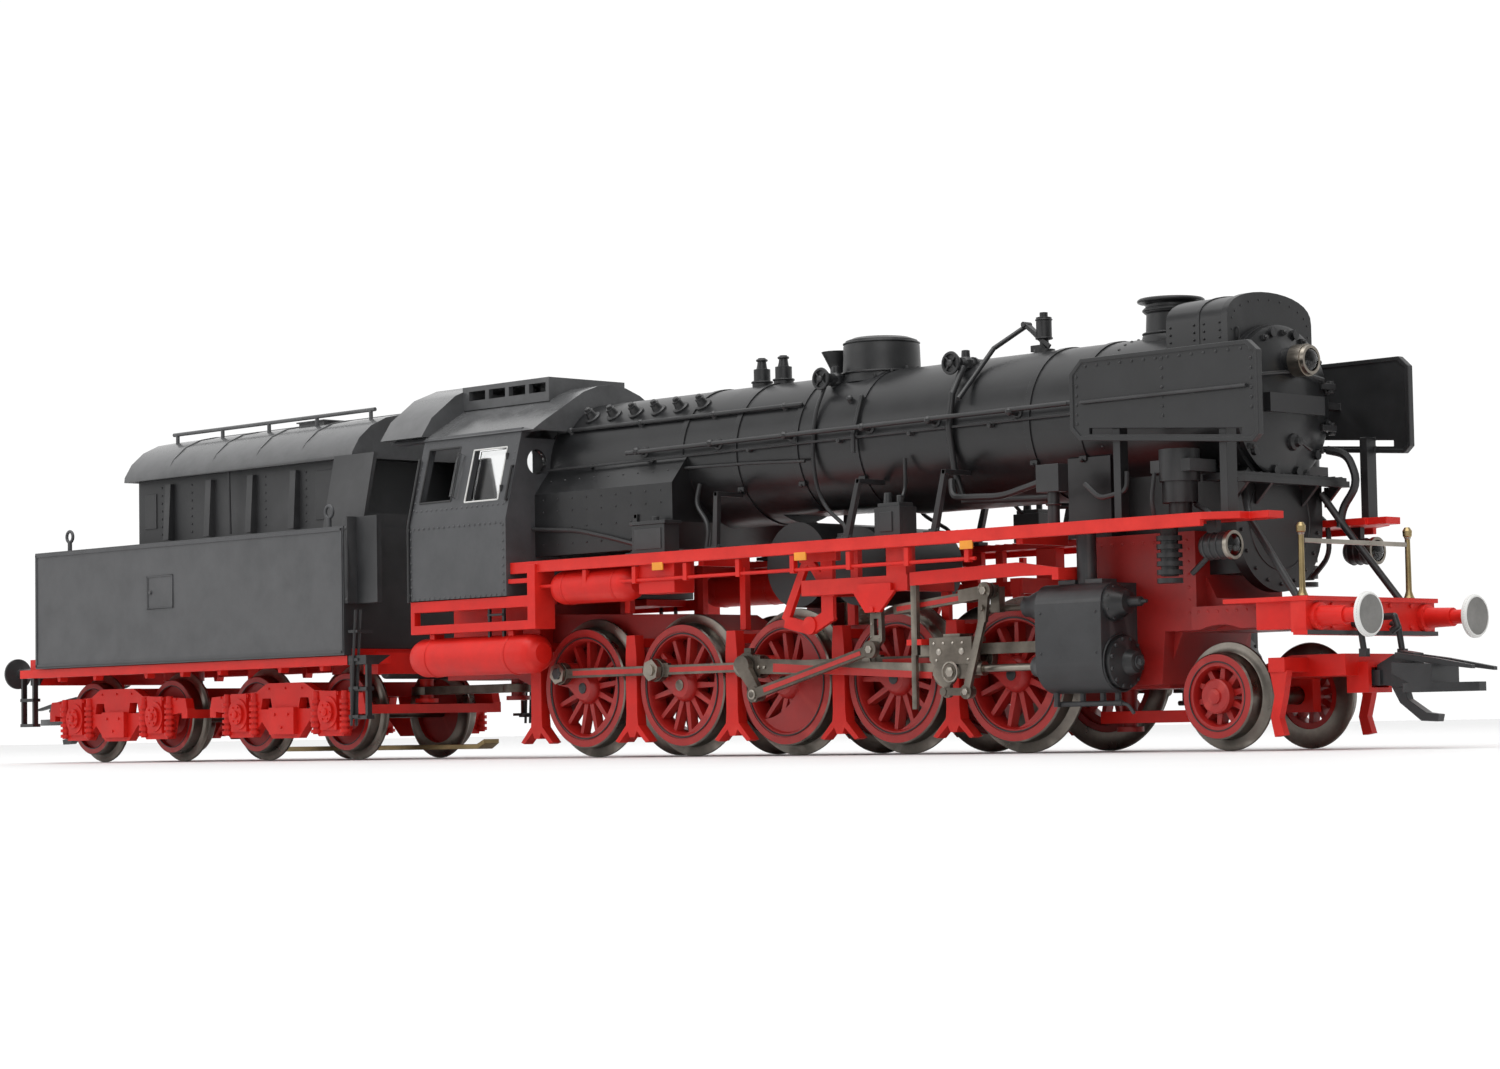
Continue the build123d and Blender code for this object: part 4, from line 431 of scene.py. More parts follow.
# ------------------------------------------------------------------ mesh builder
class Bag:
    """Collects closed shells in local millimetres and makes one piece of them."""

    def __init__(self, name, body, mat):
        self.name, self.body, self.mat, self.bm = name, body, mat, bmesh.new()

    def faces(self, verts, faces):
        vs = [self.bm.verts.new(W(*v)) for v in verts]
        for f in faces:
            try:
                self.bm.faces.new([vs[i] for i in f])
            except ValueError:
                pass

    def box(self, x0, x1, y0, y1, z0, z1):
        x0, x1 = sorted((x0, x1)); y0, y1 = sorted((y0, y1)); z0, z1 = sorted((z0, z1))
        v = [(x, y, z) for x in (x0, x1) for y in (y0, y1) for z in (z0, z1)]
        self.faces(v, [(0, 1, 3, 2), (4, 6, 7, 5), (0, 4, 5, 1), (2, 3, 7, 6), (0, 2, 6, 4), (1, 5, 7, 3)])

    def prism(self, pts, plane, a, b):
        n = len(pts)
        put = {"y": lambda p, t: (p[0], t, p[1]), "x": lambda p, t: (t, p[0], p[1]), "z": lambda p, t: (p[0], p[1], t)}[plane]
        v = [put(p, a) for p in pts] + [put(p, b) for p in pts]
        f = [tuple(range(n - 1, -1, -1)), tuple(range(n, 2 * n))]
        f += [(i, (i + 1) % n, n + (i + 1) % n, n + i) for i in range(n)]
        self.faces(v, f)

    def bar(self, p, q, w, a, b, w2=None):
        w2 = w if w2 is None else w2
        dx, dz = q[0] - p[0], q[1] - p[1]
        n = math.hypot(dx, dz)
        ux, uz = -dz / n, dx / n
        self.prism([(p[0] + ux * w / 2, p[1] + uz * w / 2), (q[0] + ux * w2 / 2, q[1] + uz * w2 / 2),
                    (q[0] - ux * w2 / 2, q[1] - uz * w2 / 2), (p[0] - ux * w / 2, p[1] - uz * w / 2)], "y", a, b)

    @staticmethod
    def basis(n):
        n = Vector(n).normalized()
        a = Vector((0, 0, 1)) if abs(n.z) < 0.9 else Vector((1, 0, 0))
        u = n.cross(a).normalized()
        return n, u, n.cross(u).normalized()

    def stack(self, p, n, rings, seg=12, phase=0.0):
        """Rings of (height along n, radius) closed at both ends."""
        n, u, v = self.basis(n)
        p = Vector(p)
        verts, faces, rows = [], [], []
        for h, r in rings:
            if r < 1e-6:
                rows.append([len(verts)])
                verts.append(tuple(p + n * h))
            else:
                row = []
                for k in range(seg):
                    a = 2 * math.pi * k / seg + phase
                    row.append(len(verts))
                    verts.append(tuple(p + n * h + (u * math.cos(a) + v * math.sin(a)) * r))
                rows.append(row)
        for a, b in zip(rows[:-1], rows[1:]):
            for k in range(seg):
                k2 = (k + 1) % seg
                if len(a) == 1:
                    faces.append((a[0], b[k], b[k2]))
                elif len(b) == 1:
                    faces.append((a[k], b[0], a[k2]))
                else:
                    faces.append((a[k], b[k], b[k2], a[k2]))
        if len(rows[0]) > 1:
            faces.append(tuple(rows[0]))
        if len(rows[-1]) > 1:
            faces.append(tuple(reversed(rows[-1])))
        self.faces(verts, faces)

    def cyl(self, p, q, r, r2=None, seg=16, ch=0.0):
        d = Vector(q) - Vector(p)
        L = d.length
        r2 = r if r2 is None else r2
        if ch:
            self.stack(p, d, [(0, r - ch), (ch, r), (L - ch, r2), (L, r2 - ch)], seg)
        else:
            self.stack(p, d, [(0, r), (L, r2)], seg)

    def dome(self, p, n, r, seg=8, h=0.7):
        self.stack(p, n, [(-0.06, r), (r * h * 0.45, r * 0.86), (r * h * 0.85, r * 0.5), (r * h, 0.0)], seg)

    def ball(self, p, r, seg=10):
        self.stack(p, (0, 0, 1), [(-r, 0), (-r * 0.8, r * 0.6), (-r * 0.31, r * 0.95), (r * 0.31, r * 0.95), (r * 0.8, r * 0.6), (r, 0)], seg)

    def hexa(self, p, n, r, h, phase=0.0):
        self.stack(p, n, [(-0.05, r), (h * 0.8, r), (h, r * 0.82)], 6, phase)

    def ring(self, p, n, R, r, seg=28, rs=8, arc=None, start=0.0):
        n, u, v = self.basis(n)
        p = Vector(p)
        full = arc is None
        cnt = seg if full else seg + 1
        verts, faces = [], []
        for i in range(cnt):
            a = start + (2 * math.pi * i / seg if full else arc * i / seg)
            d = u * math.cos(a) + v * math.sin(a)
            for k in range(rs):
                b = 2 * math.pi * k / rs
                verts.append(tuple(p + d * (R + r * math.cos(b)) + n * (r * math.sin(b))))
        for i in range(seg if full else seg):
            j = (i + 1) % cnt
            for k in range(rs):
                k2 = (k + 1) % rs
                faces.append((i * rs + k, j * rs + k, j * rs + k2, i * rs + k2))
        if not full:
            faces.append(tuple(range(rs)))
            faces.append(tuple(reversed(range(seg * rs, seg * rs + rs))))
        self.faces(verts, faces)

    def loop(self, p, n, prof, seg=32):
        """Closed profile of (height, radius) points turned about n through p."""
        n, u, v = self.basis(n)
        p = Vector(p)
        m = len(prof)
        verts, faces = [], []
        for i in range(seg):
            a = 2 * math.pi * i / seg
            d = u * math.cos(a) + v * math.sin(a)
            for h, r in prof:
                verts.append(tuple(p + d * r + n * h))
        for i in range(seg):
            j = (i + 1) % seg
            for k in range(m):
                k2 = (k + 1) % m
                faces.append((i * m + k, j * m + k, j * m + k2, i * m + k2))
        self.faces(verts, faces)

    def tube(self, pts, r, fillet=1.2, seg=8, steps=5):
        P = [Vector(p) for p in pts]
        path = [P[0]]
        for i in range(1, len(P) - 1):
            a, c, b = P[i - 1], P[i], P[i + 1]
            t = min(fillet, (a - c).length * 0.48, (b - c).length * 0.48)
            s, e = c + (a - c).normalized() * t, c + (b - c).normalized() * t
            for k in range(steps + 1):
                w = k / steps
                path.append(s * (1 - w) ** 2 + c * 2 * w * (1 - w) + e * w * w)
        path.append(P[-1])
        clean = [path[0]]
        for q in path[1:]:
            if (q - clean[-1]).length > 1e-4:
                clean.append(q)
        path = clean
        tans = []
        for i in range(len(path)):
            a = path[max(0, i - 1)]
            b = path[min(len(path) - 1, i + 1)]
            tans.append((b - a).normalized())
        n, u, v = self.basis(tans[0])
        verts, faces = [], []
        for i, q in enumerate(path):
            if i:
                rot = tans[i - 1].rotation_difference(tans[i])
                u = (rot @ u).normalized()
            v = tans[i].cross(u).normalized()
            for k in range(seg):
                a = 2 * math.pi * k / seg
                verts.append(tuple(q + (u * math.cos(a) + v * math.sin(a)) * r))
        m = len(path)
        for i in range(m - 1):
            for k in range(seg):
                k2 = (k + 1) % seg
                faces.append((i * seg + k, (i + 1) * seg + k, (i + 1) * seg + k2, i * seg + k2))
        faces.append(tuple(range(seg)))
        faces.append(tuple(reversed(range((m - 1) * seg, m * seg))))
        self.faces(verts, faces)

    def helix(self, p, n, R, r, pitch, turns, seg=14, rs=6):
        nn, u, v = self.basis(n)
        p = Vector(p)
        cnt = int(turns * seg) + 1
        path = []
        for i in range(cnt):
            a = 2 * math.pi * i / seg
            path.append(tuple(p + (u * math.cos(a) + v * math.sin(a)) * R + nn * (pitch * i / seg)))
        self.tube(path, r, fillet=0.0001, seg=rs, steps=1)

    def done(self, bevel=0.0, angle=35.0):
        bmesh.ops.remove_doubles(self.bm, verts=self.bm.verts, dist=1e-8)
        bmesh.ops.recalc_face_normals(self.bm, faces=self.bm.faces)
        me = bpy.data.meshes.new(self.name)
        self.bm.to_mesh(me)
        self.bm.free()
        for p in me.polygons:
            p.use_smooth = True
        me.set_sharp_from_angle(angle=math.radians(32))
        me.materials.append(M[self.mat])
        ob = bpy.data.objects.new(self.name, me)
        scene.collection.objects.link(ob)
        if bevel:
            bv = ob.modifiers.new("bevel", "BEVEL")
            bv.width, bv.segments = bevel, 2
            bv.limit_method = "ANGLE"
            bv.angle_limit = math.radians(angle)
            bv.harden_normals = True
        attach(ob, self.body)
        return ob


BR, BZ = 9.15, 37.8


def on_boiler(x, deg, extra=0.0):
    """Point and normal on the boiler, deg measured from +Y (left) towards +Z."""
    a = math.radians(deg)
    n = (0.0, math.cos(a), math.sin(a))
    return (x, n[1] * (BR + extra), BZ + n[2] * (BR + extra)), n


# ================================================================== boiler details
b = Bag("boiler_rivets", "engine", "black")
for x in (-16.8, 0.9):
    for k in range(44):
        d = k * 360 / 44
        if 70 < d < 110 and x > -10:
            continue
        p, n = on_boiler(x, d)
        if p[2] > 30.5:
            b.dome(p, n, 0.20)
for s in (-1, 1):
    for k in range(14):
        p, n = on_boiler(-15.6 + k * 1.2, 0 if s > 0 else 180)
        b.dome(p, n, 0.18)
    # firebox stay heads
    for i in range(9):
        for z in (27.4, 29.6, 31.8, 33.4):
            xx = -111.2 + i * 2.9
            if xx > -92.0 and z < 30.5:
                continue
            b.dome((xx, s * 12.0, z), (0, s, 0), 0.16)
    for i in range(9):
        xx = -111.2 + i * 2.9
        b.dome((xx, s * 10.6, 36.05), (0, s * 0.78, 0.63), 0.16)
b.done()

b = Bag("boiler_band_clips", "engine", "black")
for xb in (-87.0, -77.0, -66.0, -55.5, -27.5, -20.0):
    for d in (212, 328):
        p, n = on_boiler(xb, d, 0.1)
        b.box(p[0] - 0.55, p[0] + 0.55, p[1] - 0.35, p[1] + 0.35, p[2] - 0.3, p[2] + 0.3)
        b.hexa((xb, p[1] + n[1] * 0.35, p[2] + n[2] * 0.35), n, 0.22, 0.3)
b.done(0.00005)

# washout plugs: hex heads on the cones
b = Bag("washout_plugs", "engine", "blackm")
for k in range(6):
    xk = -107.5 + k * 4.35
    a = math.radians(48)
    for s in (-1, 1):
        n = (0, s * math.cos(a), math.sin(a))
        p = (xk, n[1] * (BR + 1.15), BZ + n[2] * (BR + 1.15))
        b.stack(p, n, [(-0.2, 0.62), (0.0, 0.66), (0.12, 0.66), (0.14, 0.42), (0.5, 0.40), (0.55, 0.3)], 6)
        p2 = (xk, n[1] * (BR + 0.02), BZ + n[2] * (BR + 0.02))
        b.stack(p2, n, [(-0.2, 1.15), (0.18, 1.15), (0.28, 0.98)], 16)
b.done()

# stanchions of the handrails
b = Bag("handrail_stanchions", "engine", "blackm")
for s in (-1, 1):
    for xk in (-94.0, -80.0, -66.5, -53.0, -42.0, -29.0):
        b.stack((xk, s * 9.0, 38.9), (0, s, 0), [(-0.4, 0.75), (0.25, 0.75), (0.35, 0.45), (1.2, 0.32), (1.3, 0.3)], 12)
        b.ball((xk, s * 10.6, 38.95), 0.52)
    for xk in (-110.0, -96.0, -82.0, -69.0, -57.5):
        b.stack((xk, s * 7.4, 42.4), (0, s * 0.8, 0.6), [(-0.6, 0.5), (0.3, 0.45), (0.8, 0.26)], 10)
        b.ball((xk, s * 7.95, 43.0), 0.45)
b.done()

# thin pipes and cables on the boiler
b = Bag("boiler_pipes", "engine", "blackm")
for s in (-1, 1):
    b.tube([(-113.0, s * 10.3, 37.6), (-96.0, s * 9.8, 37.7), (-60.0, s * 9.6, 37.9), (-24.0, s * 9.6, 38.0), (-18.4, s * 9.5, 38.0)], 0.17)
    b.tube([(-39.4, s * 9.4, 31.6), (-38.6, s * 10.2, 29.4), (-30.0, s * 11.0, 29.0), (-22.6, s * 12.4, 30.2)], 0.42, 2.0)
    b.tube([(-62.5, s * 7.1, 45.2), (-62.6, s * 9.0, 41.6), (-62.6, s * 9.6, 36.0), (-62.6, s * 8.9, 32.0), (-61.2, s * 8.6, 29.4), (-57.0, s * 9.6, 27.0), (-57.0, s * 9.8, 25.2)], 0.26, 2.0)
    b.tube([(-86.0, s * 9.6, 36.2), (-74.0, s * 9.5, 36.0), (-64.0, s * 9.5, 35.6)], 0.2, 1.0)
    b.tube([(-112.8, s * 12.5, 29.6), (-104.0, s * 12.5, 29.0), (-97.0, s * 12.5, 27.6), (-92.0, s * 12.6, 26.4)], 0.28, 2.0)
    b.tube([(-84.0, s * 8.7, 34.0), (-84.0, s * 9.5, 31.4), (-80.6, s * 10.4, 28.4), (-80.6, s * 11.0, 25.1)], 0.32, 1.6)
    b.tube([(-47.0, s * 9.4, 34.8), (-47.2, s * 9.2, 31.0), (-46.4, s * 11.4, 28.6), (-46.0, s * 12.2, 28.4)], 0.24, 1.2)
for xk in (-104.0, -92.0, -74.0, -58.0, -46.0, -33.0):
    b.stack((xk, -9.1, 37.7), (0, -1, 0), [(-0.3, 0.34), (0.7, 0.3), (0.8, 0.1)], 8)
b.done()

# stays, boxes and small gear on top of the boards
b = Bag("board_stays", "engine", "blackm")
for s in (-1, 1):
    for x0, x1, z1 in ((-77.8, -77.4, 32.5), (-54.6, -52.3, 32.5), (-40.1, -38.1, 32.7), (-93.0, -92.6, 30.5)):
        b.prism([(x0 - 0.45, 25.0), (x0 + 0.45, 25.0), (x1 + 0.35, z1), (x1 - 0.35, z1)], "y", s * 11.6, s * 12.3)
        b.box(x0 - 1.0, x0 + 1.0, s * 11.1, s * 12.9, 25.0, 25.45)
        b.prism([(x1 - 0.3, z1 - 0.6), (x1 + 0.3, z1 - 0.6), (x1 + 0.3, z1), (x1 - 0.3, z1)], "y", s * 7.6, s * 12.3)
        b.hexa((x0 - 0.6, s * 12.0, 25.45), (0, 0, 1), 0.24, 0.3)
        b.hexa((x0 + 0.6, s * 12.0, 25.45), (0, 0, 1), 0.24, 0.3)
b.done(0.00006)

b = Bag("board_equipment", "engine", "blackm")
for s in (-1, 1):
    # relay box with its cover, pipe unions and a small pressure vessel
    b.box(-47.8, -43.6, s * 11.2, s * 14.2, 25.0, 28.6)
    b.box(-47.5, -43.9, s * 11.5, s * 13.9, 28.6, 29.1)
    b.cyl((-46.8, s * 12.8, 29.0), (-46.8, s * 12.8, 30.4), 0.55, 0.45, 12)
    b.cyl((-44.8, s * 12.8, 29.0), (-44.8, s * 12.8, 30.0), 0.4, 0.4, 12)
    b.box(-46.8, -44.8, s * 14.2, s * 14.35, 25.6, 28.0)
    # lubricator box further back
    b.box(-90.8, -84.6, s * 12.0, s * 14.6, 25.0, 28.8)
    b.box(-91.1, -84.3, s * 11.8, s * 14.8, 28.8, 29.25)
    b.cyl((-87.7, s * 13.2, 29.2), (-87.7, s * 13.2, 29.9), 0.5, 0.5, 12)
    b.box(-90.2, -85.2, s * 14.6, s * 14.72, 25.6, 28.3)
    # saddle side box
    b.box(-22.2, -18.8, s * 12.2, s * 14.0, 28.8, 32.0)
    b.cyl((-20.5, s * 12.9, 25.0), (-20.5, s * 12.9, 29.0), 0.7, 0.7, 14)
    b.ring((-20.5, s * 12.9, 27.4), (0, 0, 1), 0.8, 0.16, 18, 6)
b.done(0.00008)

# valve handwheels
b = Bag("valve_handwheels", "engine", "blackm")
for xv in (-62.5, -40.5):
    c = (xv, -7.95, 45.9)
    b.ring(c, (0, 1, 0), 1.25, 0.2, 24, 8)
    b.stack(c, (0, -1, 0), [(-0.3, 0.42), (0.25, 0.42), (0.4, 0.26)], 12)
    for k in range(4):
        a = math.pi / 4 + k * math.pi / 2
        b.cyl(c, (c[0] + 1.2 * math.cos(a), c[1], c[2] + 1.2 * math.sin(a)), 0.13, 0.13, 8)
    b.stack((xv, -5.2, 45.9), (0, 0, 1), [(-1.4, 0.5), (-0.9, 0.55), (-0.5, 0.9), (0.5, 0.9), (0.9, 0.55), (1.7, 0.5), (1.75, 0.3)], 14)
    b.stack((xv, -3.9, 45.9), (0, 1, 0), [(-0.15, 1.0), (0.15, 1.0)], 16)
b.done()

# safety valves, whistle lever and dome trim
b = Bag("safety_valve_tops", "engine", "blackm")
for xs in (-81.0, -77.0):
    b.ring((xs, 0, 50.4), (0, 0, 1), 0.62, 0.17, 20, 8)
    b.ring((xs, 0, 47.5), (0, 0, 1), 1.3, 0.16, 24, 8)
    b.tube([(xs, 0.4, 50.3), (xs - 0.9, 0.9, 50.9), (xs - 1.9, 1.0, 49.6), (xs - 2.0, 1.0, 47.4)], 0.16, 0.6)
    for k in range(6):
        a = k * math.pi / 3
        b.hexa((xs + 1.0 * math.cos(a), 1.0 * math.sin(a), 47.5), (0, 0, 1), 0.17, 0.28)
b.done()

b = Bag("whistle_gear", "engine", "blackm")
b.ring((-32.4, 0, 48.65), (0, 0, 1), 0.95, 0.14, 20, 8)
b.ring((-32.4, 0, 50.9), (0, 0, 1), 0.95, 0.12, 20, 8)
b.stack((-32.4, 0, 51.35), (0, 0, 1), [(0, 0.34), (0.4, 0.34), (0.5, 0.2)], 6)
b.bar((-31.0, 47.5), (-35.2, 50.7), 0.5, -0.75, -0.45)
b.cyl((-35.0, -0.9, 50.55), (-35.0, 0.5, 50.55), 0.35, 0.35, 12)
b.box(-34.2, -32.2, -0.5, 0.5, 47.1, 47.9)
b.done(0.00004)

b = Bag("dome_trim", "engine", "black")
b.ring((-59.4, 0, 46.75), (0, 0, 1), 5.02, 0.17, 48, 8)
b.ring((-59.4, 0, 50.55), (0, 0, 1), 4.82, 0.10, 48, 8)
for k in range(16):
    a = 2 * math.pi * (k + 0.5) / 16
    r = 5.35
    z = BZ + math.sqrt(max(0.0, BR ** 2 - (r * math.sin(a)) ** 2)) + 0.05
    if z > 45.6:
        b.hexa((-59.4 + r * math.cos(a), r * math.sin(a), z), (0, 0, 1), 0.2, 0.35)
b.stack((-59.4, 0, 51.2), (0, 0, 1), [(0, 1.6), (0.14, 1.6), (0.22, 1.3)], 24)
b.done()

b = Bag("chimney_rings", "engine", "blackm")
b.ring((-12.9, 0, 51.15), (0, 0, 1), 3.75, 0.2, 48, 10)
b.ring((-12.9, 0, 50.05), (0, 0, 1), 3.22, 0.16, 48, 8)
b.ring((-12.9, 0, 47.3), (0, 0, 1), 3.3, 0.14, 48, 8)
b.done()

# heater box seams and rivets
b = Bag("heater_box_rivets", "engine", "black")
for s in (-1, 1):
    for x in (-7.0, -3.6, -2.2, 0.0):
        for k in range(6):
            b.dome((x, s * (7.78 if x < -3.2 or x > 0.2 else 7.75), 42.6 + k * 0.85), (0, s, 0), 0.15)
for k in range(11):
    t = (k + 0.5) / 11 * math.pi
    b.dome((1.25, 7.1 * math.cos(t), 46.9 + 2.9 * math.sin(t)), (1, 0, 0), 0.15)
for s in (-1, 1):
    for z in (43.2, 44.6, 46.0):
        b.dome((1.25, s * 7.1, z), (1, 0, 0), 0.15)
b.tube([(1.35, -6.2, 44.2), (1.55, -6.2, 44.6), (1.55, -6.2, 46.0), (1.35, -6.2, 46.3)], 0.12, 0.3)
b.done()

# ================================================================== wheels and rods
def along(b, p, q, n, r, nrm, ends=True):
    """A row of rivet heads from p to q."""
    for k in range(n):
        t = k / (n - 1) if ends else (k + 0.5) / n
        b.dome(tuple(p[i] + (q[i] - p[i]) * t for i in range(3)), nrm, r)


def mid(p, q, t):
    return (p[0] + (q[0] - p[0]) * t, p[1] + (q[1] - p[1]) * t)


for n, xd in enumerate(X_DRV, 1):
    b = Bag(f"driver_{n}_rim_lines", f"driver_{n}", "blackm")
    for sd in (-1, 1):
        b.ring((xd, sd * 9.9, R_DRV), (0, 1, 0), 6.72, 0.10, 64, 6)
    b.done()
    b = Bag(f"driver_{n}_fasteners", f"driver_{n}", "rod" if n in (3, 4) else "blackm")
    for sd, ang in ((-1, A_R), (1, A_L)):
        pc = (xd + CRANK * math.cos(ang), R_DRV + CRANK * math.sin(ang))
        if n in (4, 5):
            b.stack((pc[0], sd * 11.56, pc[1]), (0, sd, 0), [(-0.1, 1.05), (0.1, 1.05), (0.14, 0.9)], 18)
            b.stack((pc[0], sd * 11.66, pc[1]), (0, sd, 0), [(0, 0.86), (0.5, 0.86), (0.62, 0.68)], 6)
        b.stack((xd, sd * 10.35, R_DRV), (0, sd, 0), [(-0.9, 0.75), (0.0, 0.72), (0.08, 0.4)], 18)
    b.done()

for t, sd, ang in (("r", -1, A_R), ("l", 1, A_L)):
    pins = [(x + CRANK * math.cos(ang), R_DRV + CRANK * math.sin(ang)) for x in X_DRV]
    b = Bag(f"coupling_rod_flutes_{t}", f"coupling_rod_{t}", "rodred")
    for p, q in zip(pins[:-1], pins[1:]):
        b.bar((p[0] - 2.6, p[1]), (q[0] + 2.6, q[1]), 0.62, sd * 11.3, sd * 11.46)
    b.done()
    p3 = pins[2]
    sx = p3[0] + math.sqrt(34.02 ** 2 - (p3[1] - R_DRV) ** 2)
    small = (sx, R_DRV)
    b = Bag(f"connecting_rod_flute_{t}", f"connecting_rod_{t}", "rodred")
    b.bar(mid(p3, small, 0.14), mid(p3, small, 0.93), 1.05, sd * 13.4, sd * 13.56, 0.78)
    b.done()
    b = Bag(f"connecting_rod_trim_{t}", f"connecting_rod_{t}", "steel")
    b.stack((p3[0], sd * 13.5, p3[1]), (0, sd, 0), [(0, 1.25), (0.12, 1.25), (0.16, 1.1)], 24)
    for tt in (0.065, 0.095):
        c = mid(p3, small, tt)
        b.hexa((c[0], sd * 13.5, c[1]), (0, sd, 0), 0.22, 0.22)
    b.done()
    rot = ang - A_R
    e0 = (-0.4, -1.55)
    pe = (-67.8 + e0[0] * math.cos(rot) - e0[1] * math.sin(rot), R_DRV + e0[0] * math.sin(rot) + e0[1] * math.cos(rot))
    foot = (pe[0] + 20.4, 11.5)
    b = Bag(f"eccentric_rod_flute_{t}", f"eccentric_rod_{t}", "rodred")
    b.bar(mid(pe, foot, 0.10), mid(pe, foot, 0.92), 0.60, sd * 15.25, sd * 15.41, 0.52)
    b.done()
    b = Bag(f"eccentric_rod_pins_{t}", f"eccentric_rod_{t}", "steel")
    b.stack((pe[0], sd * 15.3, pe[1]), (0, sd, 0), [(0, 0.62), (0.2, 0.62), (0.26, 0.5)], 16)
    b.hexa((foot[0], sd * 15.5, foot[1]), (0, sd, 0), 0.5, 0.32)
    b.done()
    b = Bag(f"radius_rod_flute_{t}", f"radius_rod_{t}", "rodred")
    b.bar((-45.0, 16.25), (-34.6, 17.2), 0.56, sd * 13.42, sd * 13.56)
    b.done()
    dx = small[0] - (-67.8 + CRANK * math.cos(A_R) + math.sqrt(34.02 ** 2 - (CRANK * math.sin(A_R)) ** 2))
    b = Bag(f"crosshead_bolts_{t}", f"crosshead_{t}", "steel")
    for px, pz, r in ((-37.6, 10.9, 0.42), (-34.0, 10.9, 0.42), (-38.4, 11.9, 0.18), (-36.9, 11.9, 0.18), (-35.4, 11.9, 0.18), (-33.9, 11.9, 0.18), (-33.0, 9.9, 0.18), (-38.0, 9.9, 0.18)):
        b.stack((px + dx, sd * 14.25, pz), (0, sd, 0), [(0, r), (0.12, r * 0.95), (0.2, r * 0.5)], 12)
    b.ring((-36.5 + 0.6 + dx, sd * 14.3, 8.5), (0, 1, 0), 1.15, 0.14, 24, 6)
    b.hexa((-36.5 + 0.6 + dx, sd * 14.25, 8.5), (0, sd, 0), 0.62, 0.25)
    b.hexa((-32.4 + dx, sd * 14.8, 6.1), (0, sd, 0), 0.4, 0.12)
    b.done()
    b = Bag(f"expansion_link_rivets_{t}", f"expansion_link_{t}", "steel")
    for px, pz in ((-48.1, 16.4), (-48.3, 14.6), (-48.4, 13.0), (-47.0, 12.9)):
        b.dome((px, sd * 14.5, pz), (0, sd, 0), 0.16)
    b.done()
    b = Bag(f"combination_lever_pins_{t}", f"combination_lever_{t}", "steel")
    b.hexa((-29.3, sd * 15.5, 17.8), (0, sd, 0), 0.5, 0.3)
    b.hexa((-32.4 + dx, sd * 15.5, 6.1), (0, sd, 0), 0.42, 0.28)
    b.done()

b = Bag("pony_hubs", "pony_wheels", "wred")
for sd in (-1, 1):
    b.stack((0, sd * 9.9, 4.9), (0, sd, 0), [(-0.6, 1.95), (0.25, 1.95), (0.4, 1.75), (0.42, 0.9), (0.62, 0.85), (0.7, 0.6)], 28)
b.done()
b = Bag("pony_rim_lines", "pony_wheels", "blackm")
for sd in (-1, 1):
    b.ring((0, sd * 9.9, 4.9), (0, 1, 0), 3.86, 0.08, 48, 6)
b.done()
for n, xt in enumerate(X_TND, 1):
    b = Bag(f"tender_rim_lines_{n}", f"tender_wheels_{n}", "blackm")
    for sd in (-1, 1):
        b.ring((xt, sd * 9.9, 5.75), (0, 1, 0), 4.72, 0.08, 48, 6)
    b.done()

# ================================================================== cylinders
b = Bag("cylinder_trim", "engine", "cyl")
for sd in (-1, 1):
    for k in range(12):
        a = 2 * math.pi * (k + 0.5) / 12
        b.hexa((-11.95, sd * 11.0 + 2.72 * math.cos(a), 9.0 + 2.72 * math.sin(a)), (1, 0, 0), 0.24, 0.34)
    b.ring((-12.55, sd * 11.0, 9.0), (1, 0, 0), 3.25, 0.14, 40, 6)
    b.stack((-10.1, sd * 11.0, 9.0), (1, 0, 0), [(-0.2, 0.8), (0.2, 0.78), (0.24, 0.45), (0.6, 0.4)], 20)
    for k in range(8):
        a = 2 * math.pi * (k + 0.5) / 8
        b.hexa((-12.25, sd * 12.1 + 1.9 * math.cos(a), 15.8 + 1.9 * math.sin(a)), (1, 0, 0), 0.2, 0.34)
    b.tube([(-12.4, sd * 11.4, 4.4), (-11.4, sd * 11.4, 4.2), (-10.6, sd * 11.4, 3.2)], 0.22, 0.5)
    for x0, z0 in ((-21.6, 10.2), (-13.4, 10.2), (-21.6, 14.8), (-13.4, 14.8)):
        b.dome((x0, sd * 14.5, z0), (0, sd, 0), 0.2)
b.done(0.00004)

# ================================================================== running boards
b = Bag("board_pipes", "engine", "red")
for sd in (-1, 1):
    b.tube([(-110.0, sd * 15.9, 21.6), (-75.0, sd * 15.9, 21.6), (-30.0, sd * 15.9, 21.6)], 0.24, 1.0)
    for xk in range(9):
        b.box(-108.0 + xk * 9.6 - 0.35, -108.0 + xk * 9.6 + 0.35, sd * 15.5, sd * 16.25, 21.2, 23.4)
b.done(0.00004)
b = Bag("board_tread_ribs", "engine", "red")
for sd in (-1, 1):
    for k in range(56):
        xk = -110.0 + k * 1.45
        b.box(xk - 0.13, xk + 0.13, sd * 12.6, sd * 15.6, 24.92, 25.08)
b.done()
b = Bag("board_tabs", "engine", "amber")
for sd in (-1, 1):
    for xk in (-84.0, -58.3, -31.0):
        b.box(xk - 1.0, xk + 1.0, sd * 16.30, sd * 16.52, 22.7, 23.7)
b.done(0.00005)

